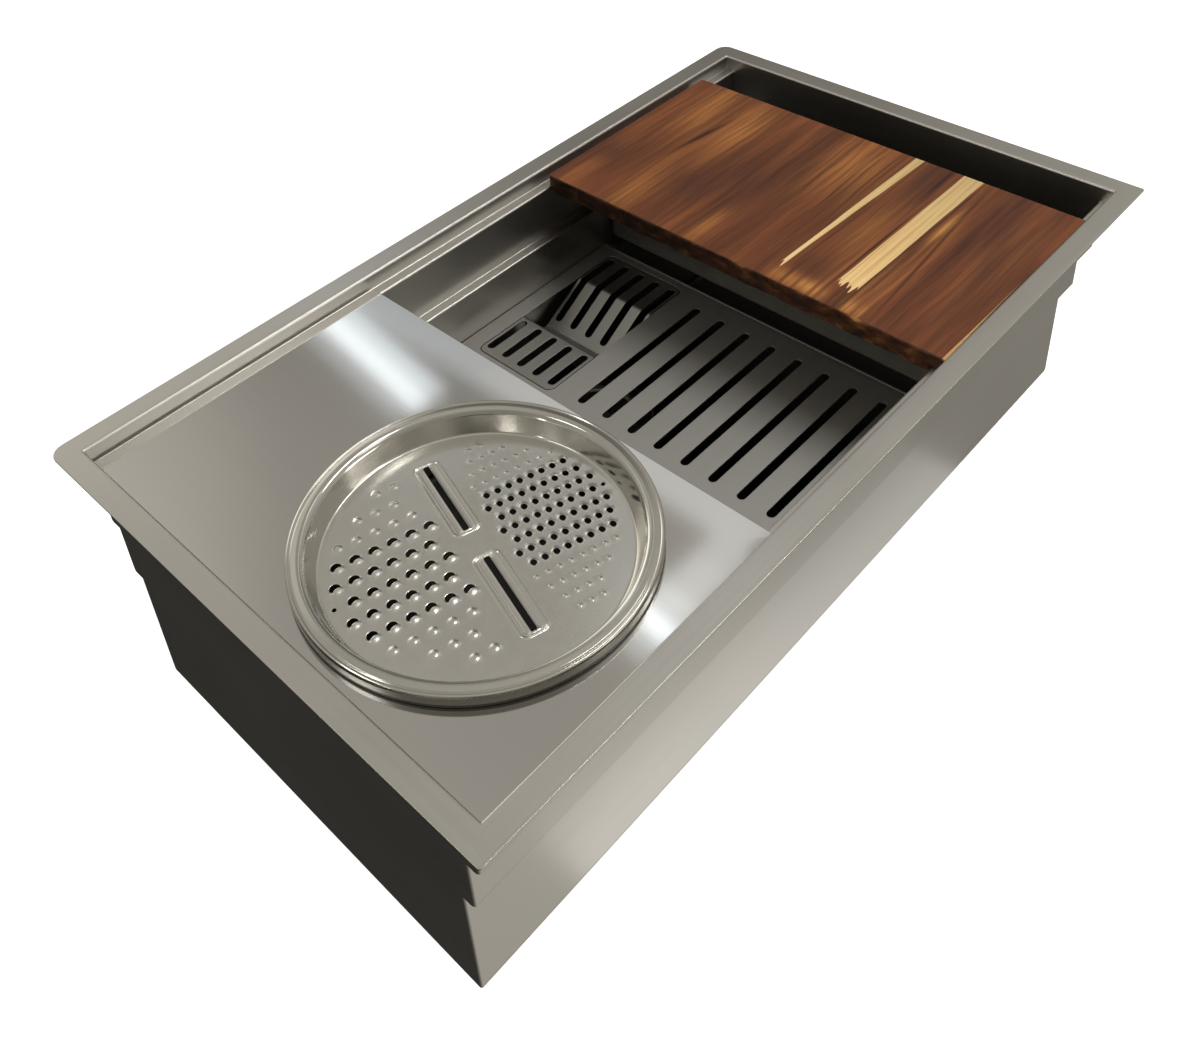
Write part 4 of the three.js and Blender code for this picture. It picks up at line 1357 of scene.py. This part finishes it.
for ob in ("strainer_basket", "basket_seal", "basket_post", "tailpiece_washer", "tailpiece", "coupling_nut"):
    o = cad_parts[ob]
    o.data.materials.clear()
    o.data.materials.append({"basket_seal": rubber_mat, "tailpiece_washer": nylon_mat, "strainer_basket": basket_mat}.get(ob, drain_mat))
    for p in o.data.polygons:
        p.use_smooth = True
        p.material_index = 0
    o.data.set_sharp_from_angle(angle=math.radians(35))

# ---------------------------------------------------------------- floor and light
floor_z = cad_lo[2] - 0.001
me = bpy.data.meshes.new("floor")
S = 6.0
me.from_pydata([(-S, -S, floor_z), (S, -S, floor_z), (S, S, floor_z), (-S, S, floor_z)], [], [(0, 1, 2, 3)])
floor = bpy.data.objects.new("studio_floor", me)
scene.collection.objects.link(floor)
fm, nt, b = nodes_of("studio_floor")
n = noise(nt, mapping(nt, (2, 2, 2)), 1.0, 2.0, 0.5)
cr = ramp(nt, n.outputs[0], [(0.3, grey(0.80)), (0.7, grey(0.83))])
nt.links.new(cr.outputs[0], b.inputs["Base Color"])
b.inputs["Roughness"].default_value = 0.9
b.inputs["Specular IOR Level"].default_value = 0.0
b.inputs["Emission Color"].default_value = (1.0, 1.0, 1.0, 1)
b.inputs["Emission Strength"].default_value = 0.85
me.materials.append(fm)
floor.visible_glossy = False


def soft_light(name, at, to, size, power, size_y=None, colour=(1, 1, 1), glossy=True, diffuse=True):
    la = bpy.data.lights.new(name, "AREA")
    la.shape = "RECTANGLE"
    la.size = size
    la.size_y = size_y or size
    la.energy = power
    la.color = colour
    ob = bpy.data.objects.new(name, la)
    ob.location = at
    ob.rotation_euler = (Vector(to) - Vector(at)).to_track_quat("-Z", "Y").to_euler()
    scene.collection.objects.link(ob)
    ob.visible_glossy = glossy
    ob.visible_diffuse = diffuse
    return ob


def direction(az, el):
    a, e = math.radians(az), math.radians(el)
    return Vector((math.cos(e) * math.cos(a), math.cos(e) * math.sin(a), math.sin(e)))


# The studio's walls and ceiling: a grey surround, lighter and darker in a few broad directions.
world = bpy.data.worlds.new("studio")
scene.world = world
world.use_nodes = True
wn = world.node_tree
wn.nodes.clear()
wo = wn.nodes.new("ShaderNodeOutputWorld")
bg = wn.nodes.new("ShaderNodeBackground")
wn.links.new(bg.outputs[0], wo.inputs[0])
wtc = wn.nodes.new("ShaderNodeTexCoord")
WARMTH, COOL = (1.0, 0.955, 0.86), (0.95, 0.98, 1.0)
LOBES = [
    # azimuth, elevation, inner and outer angle, strength, tint
    (80, 42, 3, 13, 0.22, WARMTH),
    (63, 40, 3, 13, -0.05, WARMTH),
    (42, 24, 6, 26, -0.26, WARMTH),
    (38, 54, 5, 14, -0.05, WARMTH),
    (-60, -62, 4, 22, 0.26, WARMTH),
    (-22, -38, 6, 20, -0.17, WARMTH),
    (112, -54, 30, 75, -0.42, WARMTH),
    (230, 20, 20, 80, -0.15, WARMTH),
    (221, 4, 6, 20, -0.22, WARMTH),
    (-60, 60, 20, 60, 0.10, WARMTH),
    (76, 11, 6, 25, 1.35, WARMTH),
]
total = None
for az, el, r0, r1, power, tint in LOBES:
    dot = wn.nodes.new("ShaderNodeVectorMath")
    dot.operation = "DOT_PRODUCT"
    wn.links.new(wtc.outputs["Generated"], dot.inputs[0])
    dot.inputs[1].default_value = direction(az, el)
    mr = wn.nodes.new("ShaderNodeMapRange")
    mr.interpolation_type = "SMOOTHSTEP"
    mr.inputs["From Min"].default_value = math.cos(math.radians(r1))
    mr.inputs["From Max"].default_value = math.cos(math.radians(r0))
    mr.inputs["To Min"].default_value = 0.0
    mr.inputs["To Max"].default_value = power
    wn.links.new(dot.outputs["Value"], mr.inputs["Value"])
    add = wn.nodes.new("ShaderNodeVectorMath")
    add.operation = "MULTIPLY_ADD"
    wn.links.new(mr.outputs[0], add.inputs[0])
    add.inputs[1].default_value = tint
    if total is None:
        add.inputs[2].default_value = tuple(0.45 * c for c in WARMTH)
    else:
        wn.links.new(total, add.inputs[2])
    total = add.outputs[0]
low = wn.nodes.new("ShaderNodeVectorMath")
low.operation = "MAXIMUM"
wn.links.new(total, low.inputs[0])
low.inputs[1].default_value = (0.02, 0.02, 0.02)
wn.links.new(low.outputs[0], bg.inputs["Color"])


def softbox(name, az, el, dist, wide, high, radiance, colour=(1, 1, 1), about=(0.0, 0.0, 0.0)):
    """A soft rectangular light whose face has a given brightness."""
    at = Vector(about) + direction(az, el) * dist
    power = radiance * math.pi * wide * high
    ob = soft_light(name, at, about, wide, power, high, colour, diffuse=False)
    ob.visible_camera = False
    return ob


EYE = (-0.63012, -0.56407, 0.68358)


def ceiling_light(name, x0, x1, y0, y1, radiance, colour=(1, 1, 1), times=3.0, slope=0.0):
    """A level light over the sink, as large as a patch of the cover plate (millimetres) seen from the eye, mirrored and scaled up."""
    ez, pz = EYE[2], PTOP * MM
    z = pz - (ez - pz) + (ez - pz) * times
    xs = [EYE[0] + (x * MM - EYE[0]) * times for x in (x0, x1)]
    ys = [EYE[1] + (y * MM - EYE[1]) * times for y in (y0, y1)]
    wide, high = abs(xs[1] - xs[0]), abs(ys[1] - ys[0])
    at = (sum(xs) / 2, sum(ys) / 2, z)
    ob = soft_light(name, at, (at[0], at[1], 0), wide, radiance * math.pi * wide * high, high, colour, diffuse=False)
    ob.rotation_euler = (0, 0, -math.atan(slope))
    ob.visible_camera = False
    return ob


def flat_light(name, x0, x1, y0, y1, z, radiance, colour=(1, 1, 1), up=False):
    """A level light of a given brightness at a height, in metres."""
    wide, high = x1 - x0, y1 - y0
    at = ((x0 + x1) / 2, (y0 + y1) / 2, z)
    ob = soft_light(name, at, (at[0], at[1], z - 1), wide, radiance * math.pi * wide * high, high, colour, diffuse=False)
    ob.rotation_euler = (math.pi if up else 0, 0, 0)
    ob.visible_camera = False
    return ob


ceiling_light("strip_rear", -182, -165, 68, 332, 1.5, (0.84, 0.93, 1.0), 3.0, 0.130)
ceiling_light("strip_side", -165, -148, 68, 332, 0.75, (0.80, 0.90, 1.0), 3.0, 0.130)
ceiling_light("halo_rear", -200, -146, 68, 332, 0.30, (0.80, 0.89, 1.0), 2.97, 0.130)
ceiling_light("strip_front", -236, -219, -226, -178, 1.5, (0.84, 0.93, 1.0), 3.0, 0.130)
ceiling_light("halo_front", -256, -200, -226, -178, 0.38, (0.84, 0.92, 1.0), 2.97, 0.130)
ceiling_light("beside", -146, -95, 60, 240, 0.46, (0.80, 0.90, 1.0), 2.95)
ceiling_light("front", -145, -95, -215, 60, 0.48, (0.92, 0.96, 1.0), 2.9)
ceiling_light("front_low", -212, -165, -222, -185, 0.58, (0.92, 0.96, 1.0), 2.9)
ceiling_light("front_end", -165, -145, -222, -185, 0.46, (0.92, 0.96, 1.0), 2.9)
flat_light("bar", 0.35, 1.80, -0.60, -0.25, 2.5, 13.0)
flat_light("low_card", -0.25, 0.35, -0.30, -0.235, floor_z + 0.004, 0.6, up=True)
softbox("window", -72, 40, 3.0, 0.8, 0.6, 2.6, (1.0, 0.99, 0.97))
softbox("door", 152, 50, 3.0, 0.8, 0.36, 5.0, (1.0, 0.99, 0.97))
softbox("low_window", -68, 9, 2.2, 0.9, 0.6, 3.4, (1.0, 0.97, 0.90))
softbox("low_slit", 182, 9, 2.2, 0.12, 0.6, 5.0, (1.0, 0.99, 0.97))
soft_light("wood_fill", (-0.4, -1.0, 2.0), (0.2, 0.0, 0.0), 1.4, 27.0, colour=(1.0, 0.91, 0.80), glossy=False)

# ------------------------------------------------------------------------ camera
cam_data = bpy.data.cameras.new("camera")
cam = bpy.data.objects.new("camera", cam_data)
scene.collection.objects.link(cam)
eye = Vector((-0.63012, -0.56407, 0.68358))
aim = Vector((0.0912, 0.1903, 0.0))
fwd = (aim - eye).normalized()
right = fwd.cross(Vector((0, 0, 1))).normalized()
down = fwd.cross(right)
roll = math.radians(-4.5669)
c, s = math.cos(roll), math.sin(roll)
x_axis = c * right - s * down
y_axis = -(s * right + c * down)
z_axis = -fwd
rot = Matrix((x_axis, y_axis, z_axis)).transposed()
cam.matrix_world = Matrix.Translation(eye) @ rot.to_4x4()
cam_data.sensor_fit = "HORIZONTAL"
cam_data.sensor_width = 36.0
cam_data.lens = 1289.04 / 1198 * 36
cam_data.shift_x = (599 - 556.71) / 1198
cam_data.shift_y = (184.87 - 519) / 1198
cam_data.clip_start = 0.01
cam_data.clip_end = 50
scene.camera = cam
